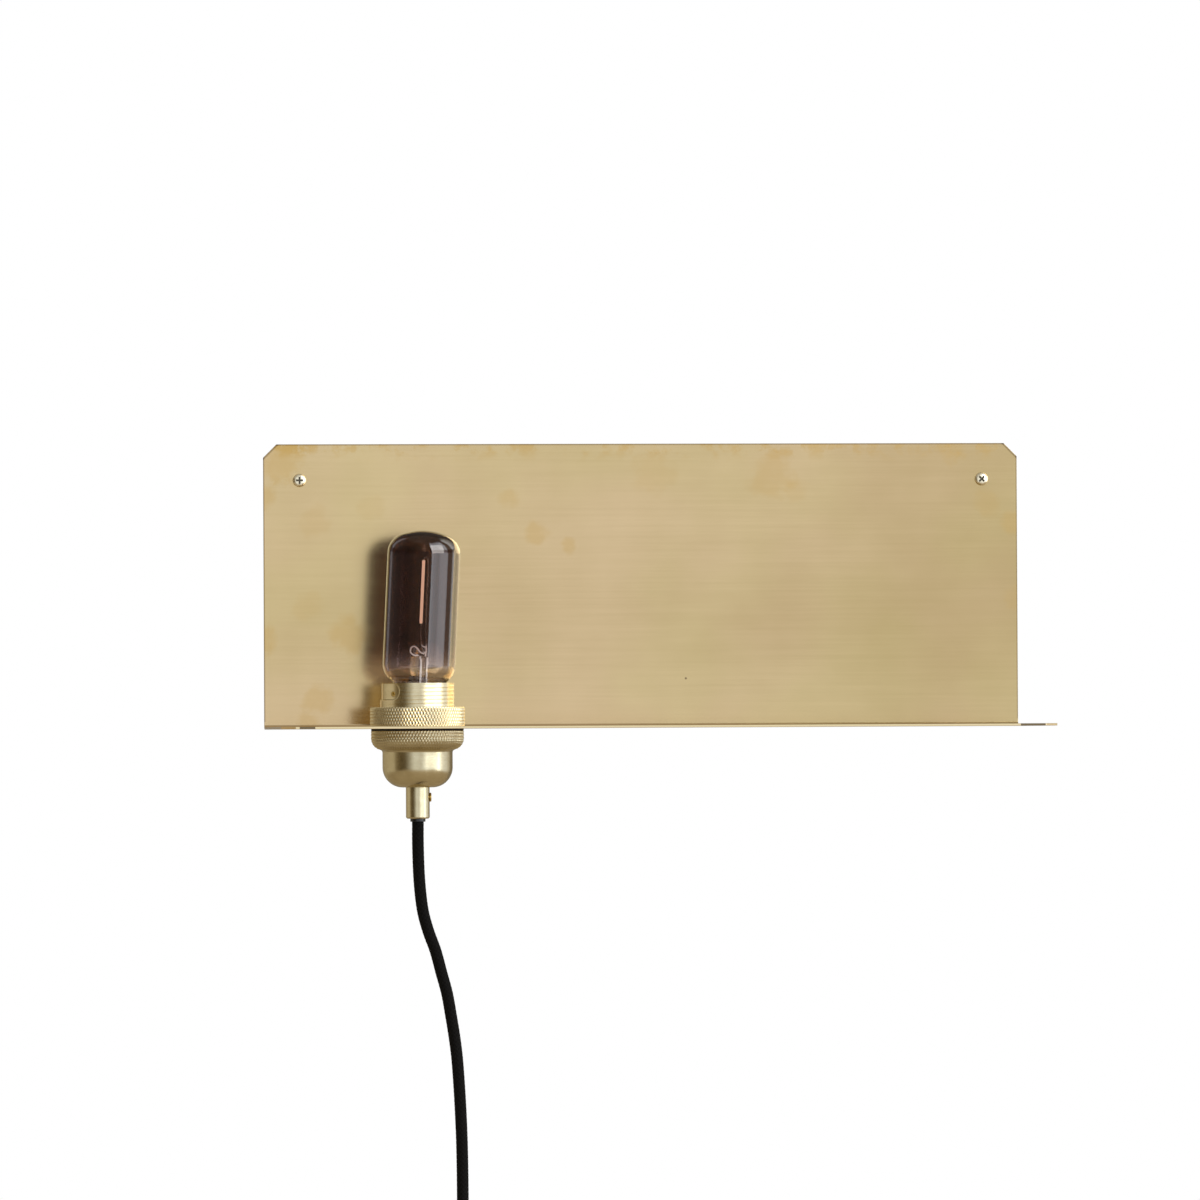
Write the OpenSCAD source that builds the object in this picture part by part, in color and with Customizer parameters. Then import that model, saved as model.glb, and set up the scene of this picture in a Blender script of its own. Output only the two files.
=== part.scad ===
// Wall lamp with shelf: a bent brass plate that screws to a wall, with a threaded
// lampholder clamped through its shelf, a tubular bulb, and a fabric lead that hangs
// down to an inline switch, a tied coil and an angled plug.
// Millimetres. +Z up, +X right, the wall is on the +Y side.
// The origin is midway between the two wall screws, on the plate's back plane.

/* [Plate and shelf] */
// Width of the plate and of the shelf
plate_w = 400; // [300:1:600]
// Height of the wall plate down to the underside of the shelf
plate_h = 150; // [145:1:220]
// Depth of the shelf from the wall
shelf_d = 150; // [120:1:220]
// Thickness of the bent sheet
sheet = 1.2; // [0.8:0.1:3]
// Inside radius of the bend
bend_r = 1.5; // [0.8:0.1:5]
// Cut of the four free corners
corner_cut = 7; // [0:0.5:15]

/* [Wall screws] */
// Distance of each wall screw from the side and top edges
screw_inset = 19; // [12:0.5:40]
// Diameter of the screw shank
wall_screw_d = 3.5; // [3:0.1:5]
// Length of the screw under its head
wall_screw_l = 35; // [20:1:60]
// Diameter of the screw head
wall_head_d = 7; // [6:0.1:11]
// Height of the screw head
wall_head_h = 2.2; // [1.6:0.1:4]
// Play between screw shank and plate hole, on the radius
wall_hole_play = 1.2; // [1.15:0.05:1.5]

/* [Lampholder place] */
// Distance of the lampholder axis from the left edge
lamp_inset = 75; // [45:1:200]
// Distance of the lampholder axis from the wall
lamp_out = 75; // [40:1:90]

/* [Lampholder] */
// Outer diameter of the threaded skirt
skirt_d = 38.5; // [36:0.5:44]
// Pitch of the skirt's outer thread
skirt_pitch = 2; // [1.5:0.25:3]
// Depth of the skirt's outer thread
thread_depth = 0.7; // [0.3:0.05:1]
// Wall of the skirt under its thread
skirt_wall = 1.3; // [1:0.1:1.6]
// Length of skirt that shows above the upper ring
skirt_show = 12.5; // [8:0.5:20]
// Length of skirt inside the holder cap
skirt_in = 4.5; // [3:0.25:4.5]
// Radial play of the skirt's thread in what screws on it
thread_play = 0.1; // [0.05:0.01:0.2]
// Outer diameter of the upper clamp ring
ring_d = 49.2; // [46:0.1:60]
// Height of the upper clamp ring
ring_h = 10; // [6:0.5:14]
// Outer diameter of the black washer
washer_d = 48; // [44:0.5:60]
// Thickness of the black washer
washer_h = 1; // [0.5:0.1:2]
// Radius of the smooth pad's rounded ends
pad_r = 4.6; // [3:0.1:6]
// Angle of the pad's front end, counted from +X
pad_from = 223; // [200:1:240]
// Angle of the pad's rear end, counted from +X
pad_to = 150; // [120:1:190]
// Diameter of the lock screw in the pad
lock_screw_d = 2.6; // [2:0.1:3.5]
// Diameter of the cap's knurled collar
collar_d = 48.2; // [46:0.1:60]
// Straight height of the collar above its rounding
collar_h = 4; // [2:0.5:6]
// Radius of the collar's lower rounding
collar_round = 6; // [4:0.25:6]
// Diameter of the smooth cup
cup_d = 36.4; // [36:0.1:40]
// Height of the whole holder cap
cap_h = 29.4; // [29:0.1:40]
// Radius of the cup's bottom corner
cup_round = 10.5; // [8:0.25:10.5]
// Wall of the cup
cup_wall = 2.3; // [1.5:0.1:2.6]

/* [Lampholder inside] */
// Radius of the ceramic core's body
core_r = 15.6; // [15.2:0.05:15.6]
// Height of the core's clamped flange
flange_h = 3; // [2:0.25:3]
// Inner radius of the ceramic liner
liner_r = 14.7; // [14.2:0.05:15.5]
// Distance of the liner's top below the skirt's rim
liner_drop = 3.2; // [1:0.1:6]
// Play between liner and skirt, on the radius
liner_play = 0.15; // [0.05:0.01:0.3]
// Wall of the screw shell
shell_wall = 0.5; // [0.3:0.05:0.7]
// Running play between bulb cap and screw shell, on the radius
bulb_play = 0.1; // [0.05:0.01:0.1]

/* [Cord grip] */
// Outer diameter of the cord grip
grip_d = 12.3; // [12:0.1:16]
// Length of the cord grip
grip_l = 16.2; // [14:0.1:30]
// Outer diameter of the hollow nipple
nipple_d = 10; // [9.6:0.1:10.4]
// Bore of the hollow nipple
nipple_bore = 6.8; // [6.4:0.1:7.4]
// Length of insert that shows under the grip
insert_show = 1.6; // [0.5:0.1:4]

/* [Bulb] */
// Diameter of the glass tube
bulb_d = 37.9; // [36:0.1:38.4]
// Length of glass above the bulb's cap
glass_l = 83; // [75:1:180]
// Thickness of the glass
glass_t = 0.9; // [0.6:0.1:1.2]
// Radius of the glass shoulder at the top
shoulder_r = 10.5; // [6:0.5:14]
// Diameter of the bulb's screw cap
bulb_cap_d = 26.5; // [26:0.1:26.6]
// Lean of the glass on its cap, to the right
bulb_lean = 1.8; // [0:0.1:2]
// Length of the filament stick
filament_l = 33; // [20:1:38]
// Diameter of the filament stick
filament_d = 1.8; // [1.2:0.1:3]

/* [Lead] */
// Diameter of the fabric cord
cord_d = 6.2; // [5.5:0.1:6.4]
// Width of the inline switch
switch_w = 26; // [24:0.5:34]
// Length of the inline switch without its necks
switch_l = 56; // [50:1:80]
// Thickness of the inline switch
switch_t = 20; // [18:0.5:26]
// Tilt of the rocker to either side
rocker_tilt = 10; // [6:1:12]
// Diameter of the plug
plug_d = 39; // [38:0.5:42]
// Depth of the plug's body
plug_t = 30; // [24:0.5:38]
// Diameter of a plug pin
pin_d = 4.8; // [4:0.1:5]
// Length of a plug pin
pin_l = 19; // [15:0.5:20]
// Distance between the two plug pins
pin_gap = 19; // [18.5:0.1:19.5]

/* [Hidden] */
$fn = 64;
e = 0.01;
screw_x = plate_w / 2 - screw_inset;
shelf_under = screw_inset - plate_h;
shelf_top = shelf_under + sheet;
lamp_x = lamp_inset - plate_w / 2;

// Levels of the lampholder, from the shelf
skirt_r = skirt_d / 2;
skirt_top = shelf_top + ring_h + skirt_show;
cap_top = shelf_under - washer_h;
skirt_end = cap_top - skirt_in;
seat_z = skirt_end - flange_h;
cap_end = cap_top - cap_h;
skirt_bore = skirt_r - thread_depth - skirt_wall;
cup_floor = cap_end + cup_wall;
cup_r = cup_d / 2;
cavity_r = cup_r - cup_wall;
pad_z = skirt_top - pad_r + 0.3;
pad_depth = thread_depth + 0.1;
lock_z = pad_z - 1.4;

// Levels of the ceramic core and its metal
boss_h = 1.9;
core_top = skirt_end + boss_h;
core_low_h = 8.5;
core_end = seat_z - core_low_h;
pocket_r = 8.2;
pocket_z = core_top - 6.4;
block = 6.4;
block_h = 5;
block_x = 8.9;
rivet_x = 2.3 - block_x;
blade_t = 0.45;
block_z = core_end - 0.2;
block_top = block_z + block_h;
shell_base = 0.5;
bulb_r = bulb_cap_d / 2;
shell_r = bulb_r + bulb_play;
shell_screw_at = 11.6;
shell_screw_d = 2.4;
shell_head_d = 3.4;
shell_head_h = 1.1;

// Levels of the nipple and grip
nipple_r = nipple_d / 2;
tag_t = 0.6;
nut_h = 2.5;
nut_across = 13;
earth_tab_y = nut_across / 2 + 0.5;
earth_tab_w = 2.4;
nipple_top = cup_floor + tag_t + nut_h + 0.5;
nipple_low = cap_end - 7;
grip_end = cap_end - grip_l;
insert_r = 3.95;
insert_top = nipple_low - 1.2;
insert_end = grip_end - insert_show;
cord_r = cord_d / 2;
cord_play = 0.1;
grip_screw_d = 3;
grip_screw_z = cap_end - 5.1;

// Levels of the bulb
bulb_rim = skirt_top - 3.7;
bulb_thread_l = 20;
tip_r = 4.75;
tip_h = 1.5;
bulb_seat = bulb_rim - bulb_thread_l;
tip_sink = 3.9;
tip_z = core_top - tip_sink;
glass_r = bulb_d / 2;
neck_r = 13.2;
stem_neck_r = 12.4;
bowl_r = 10.8;
bowl_z = 13.5;
crown_turn = 68;
crown_r = shoulder_r + (glass_r - shoulder_r) / cos(crown_turn);
shoulder_h = crown_r - (glass_r - shoulder_r) * tan(crown_turn);
filament_low = 34.6;
stem_r = 4.75;
stem_top = 22;

// The lead: every place below is counted from where the cord leaves the insert
exit = [lamp_x, -lamp_out, insert_end];
drop_route = [
    [0, 0, 0], [0, 0, -13], [0.6, 0, -30], [2.2, 0.4, -45], [5, 1, -56], [9, 2, -67],
    [12, 3, -78], [15, 3.8, -89], [17, 4.6, -100], [18.8, 5.3, -111], [20.2, 5.8, -122],
    [21.2, 6.2, -135], [22, 6.6, -149], [22.6, 6.8, -164], [22.9, 7, -179],
    [23, 7, -194], [23, 7, -209]
];
neck_l = 8;
hang_x = 23;
hang_y = 7;
switch_top = -209;
switch_z = switch_top - neck_l - switch_l / 2;
switch_low = switch_z - switch_l / 2 - neck_l;
mid_l = 30;
coil_turns = 7;
coil_layers = 4;
coil_step = 6.8;
coil_out = 41.7;
coil_rings = 24;
coil_straight = cord_d;
coil_z = switch_low - mid_l - coil_straight;
tail_y = hang_y + (coil_layers - 1) * coil_step;
tail_l = 22;
relief_l = 24;
relief_r = 6.5;
plug_z = coil_z - coil_straight - tail_l - relief_l - plug_d / 2 + 1;
turns_per_layer = coil_turns / coil_layers;
mid_from = [hang_x, hang_y, switch_low];
mid_to = [hang_x, hang_y, switch_low - mid_l];
tail_from = [hang_x, tail_y, coil_z - coil_straight];
tail_to = [hang_x, tail_y, coil_z - coil_straight - tail_l];

// The switch, from its own middle
switch_round = 8;
switch_skin = 2;
neck_r1 = 4.6;
neck_r2 = 6.6;
lever_l = 19.2;
lever_w = 10.6;
pivot_y = -switch_t / 2 + 4;
pivot_pin_d = 2;
pivot_play = 0.05;
switch_screw_x = 8.2;
switch_screw_z = switch_l / 2 - 6;
contact_z = 12.5;
contact_l = 6;

// The plug, from its own middle
relief_base = plug_d / 2 - 1;
clip_w = 5;
clip_t = 1.2;
clip_at = 15.6;
pin_root_l = 8;
pin_root_d = pin_d - 1.2;
pin_tip = 1.5;

// Points along an arc, from one angle to another
function arc(c, r, from, to, n) =
    [for (i = [0:n]) let (a = from + (to - from) * i / n) c + r * [cos(a), sin(a)]];
function unit(v) = v / norm(v);
function along(p, i) = unit(p[min(i + 1, len(p) - 1)] - p[max(i - 1, 0)]);
function ring_at(p, i, r, n, side) =
    let (t = along(p, i), u = unit(cross(t, side)), v = cross(t, u))
    [for (k = [0:n - 1]) p[i] + r * (cos(360 * k / n) * u + sin(360 * k / n) * v)];

// A round tube swept along a list of points
module tube(p, r, n, side = [0, 1, 0]) {
    last = len(p) - 1;
    rings = [for (i = [0:last]) each ring_at(p, i, r, n, side)];
    skin = [for (i = [0:last - 1], k = [0:n - 1])
        let (a = i * n + k, b = i * n + (k + 1) % n)
        each [[a, a + n, b], [b, a + n, b + n]]];
    near = [for (k = [1:n - 2]) [0, k, k + 1]];
    far = [for (k = [1:n - 2]) [last * n, last * n + k + 1, last * n + k]];
    polyhedron(points = rings, faces = concat(skin, near, far));
}

// A ring cut from a block of the given inner and outer radius
module sleeve(outer, inner, low, high) {
    translate([0, 0, low])
    rotate_extrude()
    translate([inner, 0])
    square([outer - inner, high - low]);
}

// What stands on the lampholder's axis
module at_lamp() {
    translate([lamp_x, -lamp_out, 0]) children();
}

// What leans with the glass, from the rim of the bulb's cap
module at_glass() {
    translate([lamp_x, -lamp_out, bulb_rim]) rotate([0, bulb_lean, 0]) children();
}

// Outline of the bent sheet, seen from the left: wall on the right, shelf below
module bent_outline() {
    outer = bend_r + sheet;
    middle = [-outer, shelf_under + outer];
    polygon(concat(
        [[0, screw_inset]],
        arc(middle, outer, 0, -90, 10),
        [[-shelf_d, shelf_under], [-shelf_d, shelf_top]],
        arc(middle, bend_r, -90, 0, 10),
        [[-sheet, screw_inset]]));
}

module shelf_plate() {
    color("#c6b184")
    difference() {
        translate([-plate_w / 2, 0, 0])
        rotate([90, 0, 90])
        linear_extrude(plate_w) bent_outline();
        for (s = [-1, 1]) {
            translate([s * plate_w / 2, 0, screw_inset])
            scale([s, 1, 1]) rotate([90, 0, 0])
            linear_extrude(4 * sheet, center = true)
            polygon([[1, 1], [-corner_cut, 1], [-corner_cut, 0], [0, -corner_cut], [1, -corner_cut]]);
            translate([s * plate_w / 2, -shelf_d, shelf_under])
            scale([s, 1, 1])
            linear_extrude(4 * sheet, center = true)
            polygon([[1, -1], [-corner_cut, -1], [-corner_cut, 0], [0, corner_cut], [1, corner_cut]]);
            translate([s * screw_x, 0, 0])
            rotate([90, 0, 0])
            cylinder(r = wall_screw_d / 2 + wall_hole_play, h = 4 * sheet, center = true);
        }
        translate([lamp_x, -lamp_out, shelf_under - sheet])
        cylinder(r = skirt_r + thread_play, h = 4 * sheet);
    }
}

// A pan-head screw along +Z, its head below zero, with a cross in the head
module pan_screw(turn) {
    difference() {
        rotate_extrude()
        polygon(concat(
            [[0, 0], [0, -wall_head_h]],
            [for (a = [15:15:90])
                [wall_head_d / 2 * sin(a), -wall_head_h * (0.35 + 0.65 * cos(a))]],
            [[wall_head_d / 2, 0]]));
        for (a = [0, 90])
            rotate(turn + a)
            translate([-wall_head_d * 0.33, -0.45, -wall_head_h - 1])
            cube([wall_head_d * 0.66, 0.9, 2.2]);
    }
    translate([0, 0, -e]) cylinder(d = wall_screw_d, h = wall_screw_l - 3 + e);
    translate([0, 0, wall_screw_l - 3])
    rotate_extrude()
    polygon([[0, -e], [wall_screw_d / 2, -e], [wall_screw_d / 2, 0], [0.2, 3], [0, 3]]);
}

module wall_screws() {
    color("#cdbb93")
    for (s = [-1, 1])
        translate([s * screw_x, -sheet, 0])
        rotate([-90, 0, 0])
        pan_screw(s < 0 ? 0 : 45);
}

module upper_clamp_ring() {
    bevel = 0.4;
    bore = skirt_r + thread_play;
    r = ring_d / 2;
    color("#b8a574")
    at_lamp()
    translate([0, 0, shelf_top])
    rotate_extrude()
    polygon([
        [bore, 0], [r - bevel, 0], [r, bevel], [r, ring_h - bevel],
        [r - bevel, ring_h], [bore, ring_h]]);
}

module shelf_washer() {
    color("#141312")
    at_lamp()
    sleeve(washer_d / 2, skirt_r + thread_play, cap_top, shelf_under);
}

// The shallow smooth pad that runs round the left of the skirt
module pad_cut() {
    shell_out = skirt_r + 1;
    between = (pad_from + pad_to) / 2;
    far = shell_out * 1.8;
    half = pad_r - 0.1;
    intersection() {
        sleeve(shell_out, skirt_r - pad_depth, pad_z - pad_r - 1, pad_z + pad_r + 1);
        union() {
            for (a = [pad_from, pad_to])
                rotate(a)
                translate([skirt_r - 4, 0, pad_z])
                rotate([0, 90, 0])
                cylinder(r = pad_r, h = 6);
            translate([0, 0, pad_z - half])
            linear_extrude(2 * half)
            polygon([
                [0, 0], far * [cos(pad_from), sin(pad_from)],
                far * [cos(between), sin(between)], far * [cos(pad_to), sin(pad_to)]]);
        }
    }
}

module holder_skirt() {
    turns = floor((skirt_top - skirt_end - 1) / skirt_pitch);
    root = skirt_r - thread_depth;
    color("#c9ba90")
    at_lamp()
    difference() {
        rotate_extrude()
        polygon(concat(
            [[skirt_bore, skirt_end], [root, skirt_end]],
            [for (i = [0:turns - 1], k = [0:1])
                [k == 0 ? skirt_r : root, skirt_end + 0.5 + skirt_pitch * (i + k / 2)]],
            [[skirt_r, skirt_top - 0.6], [skirt_r - 0.3, skirt_top], [skirt_bore, skirt_top]]));
        pad_cut();
        rotate(pad_from)
        translate([skirt_bore - 1, 0, lock_z])
        rotate([0, 90, 0])
        cylinder(d = lock_screw_d + 0.1, h = 5);
    }
}

module skirt_lock_screw() {
    reach = skirt_r - pad_depth - 0.1;
    start = skirt_bore - liner_play;
    color("#8d7c55")
    at_lamp()
    rotate(pad_from)
    translate([start, 0, lock_z])
    rotate([0, 90, 0])
    difference() {
        cylinder(d = lock_screw_d, h = reach - start);
        translate([0, 0, reach - start - 0.9]) cylinder(d = 1.2, h = 2, $fn = 6);
    }
}

// Half outline of the turned cap, from its top at zero downwards
module cap_outline() {
    fillet = 1.5;
    round_c = [collar_d / 2 - collar_round, -collar_h];
    fillet_x = cup_r + fillet;
    reach = collar_round + fillet;
    drop = sqrt(reach * reach - pow(fillet_x - round_c[0], 2));
    fillet_c = [fillet_x, round_c[1] - drop];
    meet = atan2(-drop, fillet_x - round_c[0]);
    low_c = [cup_r - cup_round, -cap_h + cup_round];
    inner_round = cup_round - cup_wall;
    inner_c = [cavity_r - inner_round, -cap_h + cup_wall + inner_round];
    bore = skirt_r + thread_play;
    hole = nipple_r + 0.05;
    polygon(concat(
        [[bore, 0], [collar_d / 2, 0]],
        arc(round_c, collar_round, 0, meet, 10),
        arc(fillet_c, fillet, meet + 180, 180, 5),
        arc(low_c, cup_round, 0, -90, 12),
        [[hole, -cap_h], [hole, -cap_h + cup_wall]],
        arc(inner_c, inner_round, -90, 0, 10),
        [[cavity_r, seat_z - cap_top], [bore, seat_z - cap_top]]));
}

module holder_cap() {
    color("#bfae80")
    at_lamp()
    translate([0, 0, cap_top])
    rotate_extrude() cap_outline();
}

module ceramic_core() {
    color("#ece8de")
    at_lamp()
    difference() {
        rotate_extrude()
        polygon([
            [0, core_end], [core_r, core_end], [core_r, seat_z],
            [skirt_r - 0.2, seat_z], [skirt_r - 0.2, skirt_end],
            [liner_r - 0.4, skirt_end], [liner_r - 0.4, core_top],
            [pocket_r, core_top], [pocket_r, pocket_z], [0, pocket_z]]);
        for (a = [0, 120, 240])
            rotate(a)
            translate([shell_screw_at, 0, block_top])
            cylinder(d = shell_screw_d + 0.1, h = 30);
        for (s = [-1, 1]) {
            translate([s * block_x - block / 2 - 0.1, -block / 2 - 0.1, core_end - 1])
            cube([block + 0.2, block + 0.2, block_top - core_end + 1]);
            translate([s * (core_r + 1), 0, block_z + block_h / 2])
            rotate([0, -90 * s, 0])
            cylinder(d = 3.2, h = 6);
        }
        translate([rivet_x, 0, block_top - 1]) cylinder(d = 2.1, h = 30);
    }
}

module ceramic_liner() {
    color("#efebe2")
    at_lamp()
    sleeve(skirt_bore - liner_play, liner_r, skirt_end, skirt_top - liner_drop);
}

module screw_shell() {
    color("#c2a45c")
    at_lamp() {
        sleeve(shell_r + shell_wall, shell_r, core_top, bulb_rim - 2.5);
        difference() {
            sleeve(shell_r + e, 9.6, core_top, core_top + shell_base);
            for (a = [0, 120, 240])
                rotate(a)
                translate([shell_screw_at, 0, core_top - 1])
                cylinder(d = shell_screw_d + 0.1, h = 3);
        }
    }
}

module shell_screws() {
    head_z = core_top + shell_base;
    color("#b9b3a4")
    at_lamp()
    for (a = [0, 120, 240])
        rotate(a)
        translate([shell_screw_at, 0, 0])
        difference() {
            union() {
                translate([0, 0, head_z]) cylinder(d = shell_head_d, h = shell_head_h);
                translate([0, 0, block_top]) cylinder(d = shell_screw_d, h = head_z - block_top + e);
            }
            translate([-2, -0.25, head_z + 0.6]) cube([4, 0.5, 1]);
        }
}

// The sprung blade under the bulb, drawn from the side
module centre_contact() {
    t = blade_t;
    gap = 0.3;
    top = tip_z - gap;
    floor_z = pocket_z;
    color("#c58f52")
    at_lamp()
    difference() {
        rotate([90, 0, 0])
        linear_extrude(5, center = true)
        polygon([
            [-7.6, floor_z], [-4.4, floor_z], [2, top - t], [5, top - t], [6.6, top - 1.2 - t],
            [7, top - 1.2], [5.2, top], [1.8, top], [-4.6, floor_z + t], [-7.6, floor_z + t]]);
        translate([rivet_x, 0, floor_z - 1]) cylinder(d = 2.1, h = 3);
    }
}

module contact_rivet() {
    base = pocket_z + blade_t;
    color("#c9ab66")
    at_lamp()
    translate([rivet_x, 0, 0]) {
        translate([0, 0, block_top]) cylinder(d = 2, h = base - block_top + e);
        translate([0, 0, base]) cylinder(d = 2.8, h = 0.6);
    }
}

// A brass block with a hole for the wire and one for its screw
module terminal(s) {
    at_lamp()
    difference() {
        translate([s * block_x - block / 2, -block / 2, block_z]) cube([block, block, block_h]);
        translate([s * block_x, 0, block_z - 1]) cylinder(d = 2.4, h = block_h + 0.5);
        translate([s * block_x, 0, block_z + block_h / 2])
        rotate([0, 90 * s, 0])
        cylinder(d = 3.1, h = block);
    }
}

module live_terminal() {
    color("#c9a95e") terminal(-1);
}

module neutral_terminal() {
    color("#c9a95e") terminal(1);
}

module terminal_screws() {
    tip = block_x + 1;
    color("#b9b3a4")
    at_lamp()
    for (s = [-1, 1])
        translate([s * tip, 0, block_z + block_h / 2])
        rotate([0, 90 * s, 0])
        difference() {
            cylinder(d = 3, h = core_r - 0.2 - tip);
            translate([-2, -0.3, core_r - 1 - tip]) cube([4, 0.6, 2]);
        }
}

module hollow_nipple() {
    color("#b79d5c")
    at_lamp()
    sleeve(nipple_r, nipple_bore / 2, nipple_low, nipple_top);
}

module nipple_nut() {
    color("#b79d5c")
    at_lamp()
    translate([0, 0, cup_floor + tag_t])
    difference() {
        cylinder(r = nut_across / 2 / cos(30), h = nut_h, $fn = 6);
        translate([0, 0, -1]) cylinder(r = nipple_r + 0.05, h = nut_h + 2);
    }
}

module earth_tag() {
    color("#b9b3a4")
    at_lamp() {
        sleeve(7.2, nipple_r + 0.05, cup_floor, cup_floor + tag_t);
        translate([-earth_tab_w / 2, -earth_tab_y - tag_t, cup_floor])
        cube([earth_tab_w, 2, tag_t]);
        translate([-earth_tab_w / 2, -earth_tab_y - tag_t, cup_floor])
        cube([earth_tab_w, tag_t, 6.4]);
    }
}

module cord_grip() {
    bevel = 0.7;
    r = grip_d / 2;
    color("#cabd96")
    at_lamp()
    difference() {
        rotate_extrude()
        polygon([
            [nipple_r + 0.05, cap_end], [r, cap_end], [r, grip_end + bevel],
            [r - bevel, grip_end], [insert_r + 0.05, grip_end],
            [insert_r + 0.05, insert_top], [nipple_bore / 2, insert_top],
            [nipple_bore / 2, nipple_low], [nipple_r + 0.05, nipple_low]]);
        translate([nipple_r - 1, 0, grip_screw_z])
        rotate([0, 90, 0])
        cylinder(d = grip_screw_d + 0.1, h = 5);
    }
}

module grip_lock_screw() {
    r = grip_d / 2;
    color("#a8986c")
    at_lamp()
    translate([0, 0, grip_screw_z])
    rotate([0, 90, 0])
    difference() {
        union() {
            translate([0, 0, nipple_r]) cylinder(d = grip_screw_d, h = r - nipple_r + e);
            translate([0, 0, r]) cylinder(d = 4.6, h = 0.8);
        }
        translate([-3, -0.3, r + 0.4]) cube([6, 0.6, 1]);
    }
}

module grip_insert() {
    color("#1c1c20")
    at_lamp()
    sleeve(insert_r, cord_r + cord_play, insert_end, insert_top);
}

module cord_end() {
    color("#151413")
    at_lamp()
    translate([0, 0, insert_end])
    cylinder(r = cord_r, h = nipple_top - insert_end);
}

// One insulated core from the cord's end up into its terminal
module feed_wire(s) {
    at_lamp()
    tube([
        [s * 1.7, 0, nipple_top], [s * 1.7, 0, nipple_top + 1.4],
        [s * 3, 0, nipple_top + 3], [s * 5.6, 0, nipple_top + 4.2],
        [s * 7.9, 0, nipple_top + 5], [s * block_x, 0, nipple_top + 6.4],
        [s * block_x, 0, block_z], [s * block_x, 0, block_top - 1]], 0.9, 10);
}

module live_wire() {
    color("#6b4a2b") feed_wire(-1);
}

module neutral_wire() {
    color("#2f5f9e") feed_wire(1);
}

module earth_wire() {
    color("#6f9a3a")
    at_lamp()
    tube([
        [0, -1.9, nipple_top], [0, -1.9, nipple_top + 1.2], [0, -2.8, nipple_top + 2.9],
        [0, -4.6, nipple_top + 3.5], [0, -6.1, nipple_top + 2.6],
        [0, -earth_tab_y + 0.9, nipple_top + 1], [0, -earth_tab_y + 0.9, nipple_top - 0.3]],
        0.9, 10, [1, 0, 0]);
}

// Half outline of the glass, taken in from its outside by t
function glass_outline(t) = concat(
    [[stem_neck_r - t, -4.5], [stem_neck_r - t, 0.7]],
    [[neck_r - t, 1.1 + t / 2]],
    arc([glass_r - bowl_r, bowl_z], bowl_r - t,
        -acos((neck_r - t - glass_r + bowl_r) / (bowl_r - t)), 0, 10),
    arc([glass_r - shoulder_r, glass_l - shoulder_h], shoulder_r - t, 0, crown_turn, 10),
    arc([0, glass_l - crown_r], crown_r - t, crown_turn, 90, 6));

module bulb_glass() {
    outside = glass_outline(0);
    inside = glass_outline(glass_t);
    color("#4a3a38", 0.6)
    at_glass()
    rotate_extrude()
    polygon(concat(outside, [for (i = [len(inside) - 1:-1:0]) inside[i]]));
}

module bulb_stem() {
    color("#d9dcd8", 0.5)
    at_glass()
    rotate_extrude()
    polygon([
        [0, -5.3], [stem_neck_r, -5.3], [stem_neck_r, -4.5], [stem_neck_r - 1.6, -4.5],
        [7.4, -0.6], [5.4, 3], [stem_r, 6.5], [stem_r, stem_top - 1.6], [3.4, stem_top],
        [0, stem_top]]);
}

module filament_stick() {
    color("#e59a63")
    at_glass()
    translate([0, 0, filament_low])
    cylinder(d = filament_d, h = filament_l);
}

// The lead wires that carry the filament at its two ends
module filament_wires() {
    high = filament_low + filament_l;
    color("#6e675c")
    at_glass() {
        tube([[-1.6, 0, stem_top], [-1.6, 0, stem_top + 5], [-1, 0, stem_top + 9],
            [0, 0, filament_low - 1.5], [0, 0, filament_low]], 0.35, 8);
        tube([[1.8, 0, stem_top], [1.8, 0, stem_top + 2], [2.2, 0, stem_top + 6],
            [2.6, 0, stem_top + 12], [2.6, 0, high - 6], [2.2, 0, high + 0.6],
            [1.2, 0, high + 2], [0.3, 0, high + 1.8], [0, 0, high + 1], [0, 0, high]],
            0.35, 8);
    }
}

module bulb_cap() {
    wall = 0.5;
    color("#c9c6bd")
    at_lamp()
    rotate_extrude()
    polygon([
        [bulb_r - wall, bulb_rim], [bulb_r, bulb_rim], [bulb_r, bulb_seat + 1.4],
        [bulb_r - 1.4, bulb_seat], [bulb_r - 1.9, bulb_seat],
        [bulb_r - wall, bulb_seat + 1.4]]);
}

module bulb_insulator() {
    color("#17171a")
    at_lamp()
    rotate_extrude()
    polygon([
        [0, bulb_seat + 3], [bulb_r - 3.4, bulb_seat + 3], [bulb_r - 1.9, bulb_seat],
        [8.4, bulb_seat - 1.9], [5.4, tip_z + tip_h], [0, tip_z + tip_h]]);
}

module bulb_tip() {
    color("#b9b8b2")
    at_lamp()
    rotate_extrude()
    polygon([
        [0, tip_z], [3, tip_z], [tip_r - 0.5, tip_z + 0.5], [tip_r, tip_z + tip_h],
        [0, tip_z + tip_h]]);
}

module bulb_driver() {
    color("#3f6b4a")
    at_lamp()
    translate([-7.5, -0.6, bulb_seat + 3])
    cube([15, 1.2, 9]);
    color("#2c2c30")
    at_lamp()
    translate([-4.5, -3.4, bulb_seat + 5])
    cube([5.5, 2.8, 5]);
}

// The lead below the lamp
module at_exit(p = [0, 0, 0]) {
    translate(exit + p) children();
}

module cord_drop() {
    color("#171615") at_exit() tube(drop_route, cord_r, 8);
}

// Flat shape with round corners, centred, drawn in X and Z and given depth in Y
module slab(w, l, r, y0, y1) {
    translate([0, y1, 0])
    rotate([90, 0, 0])
    linear_extrude(y1 - y0) {
        square([w - 2 * r, l], center = true);
        square([w, l - 2 * r], center = true);
        for (x = [-1, 1], z = [-1, 1])
            translate([x * (w / 2 - r), z * (l / 2 - r)]) circle(r);
    }
}

module at_switch() {
    at_exit([hang_x, hang_y, switch_z]) children();
}

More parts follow.
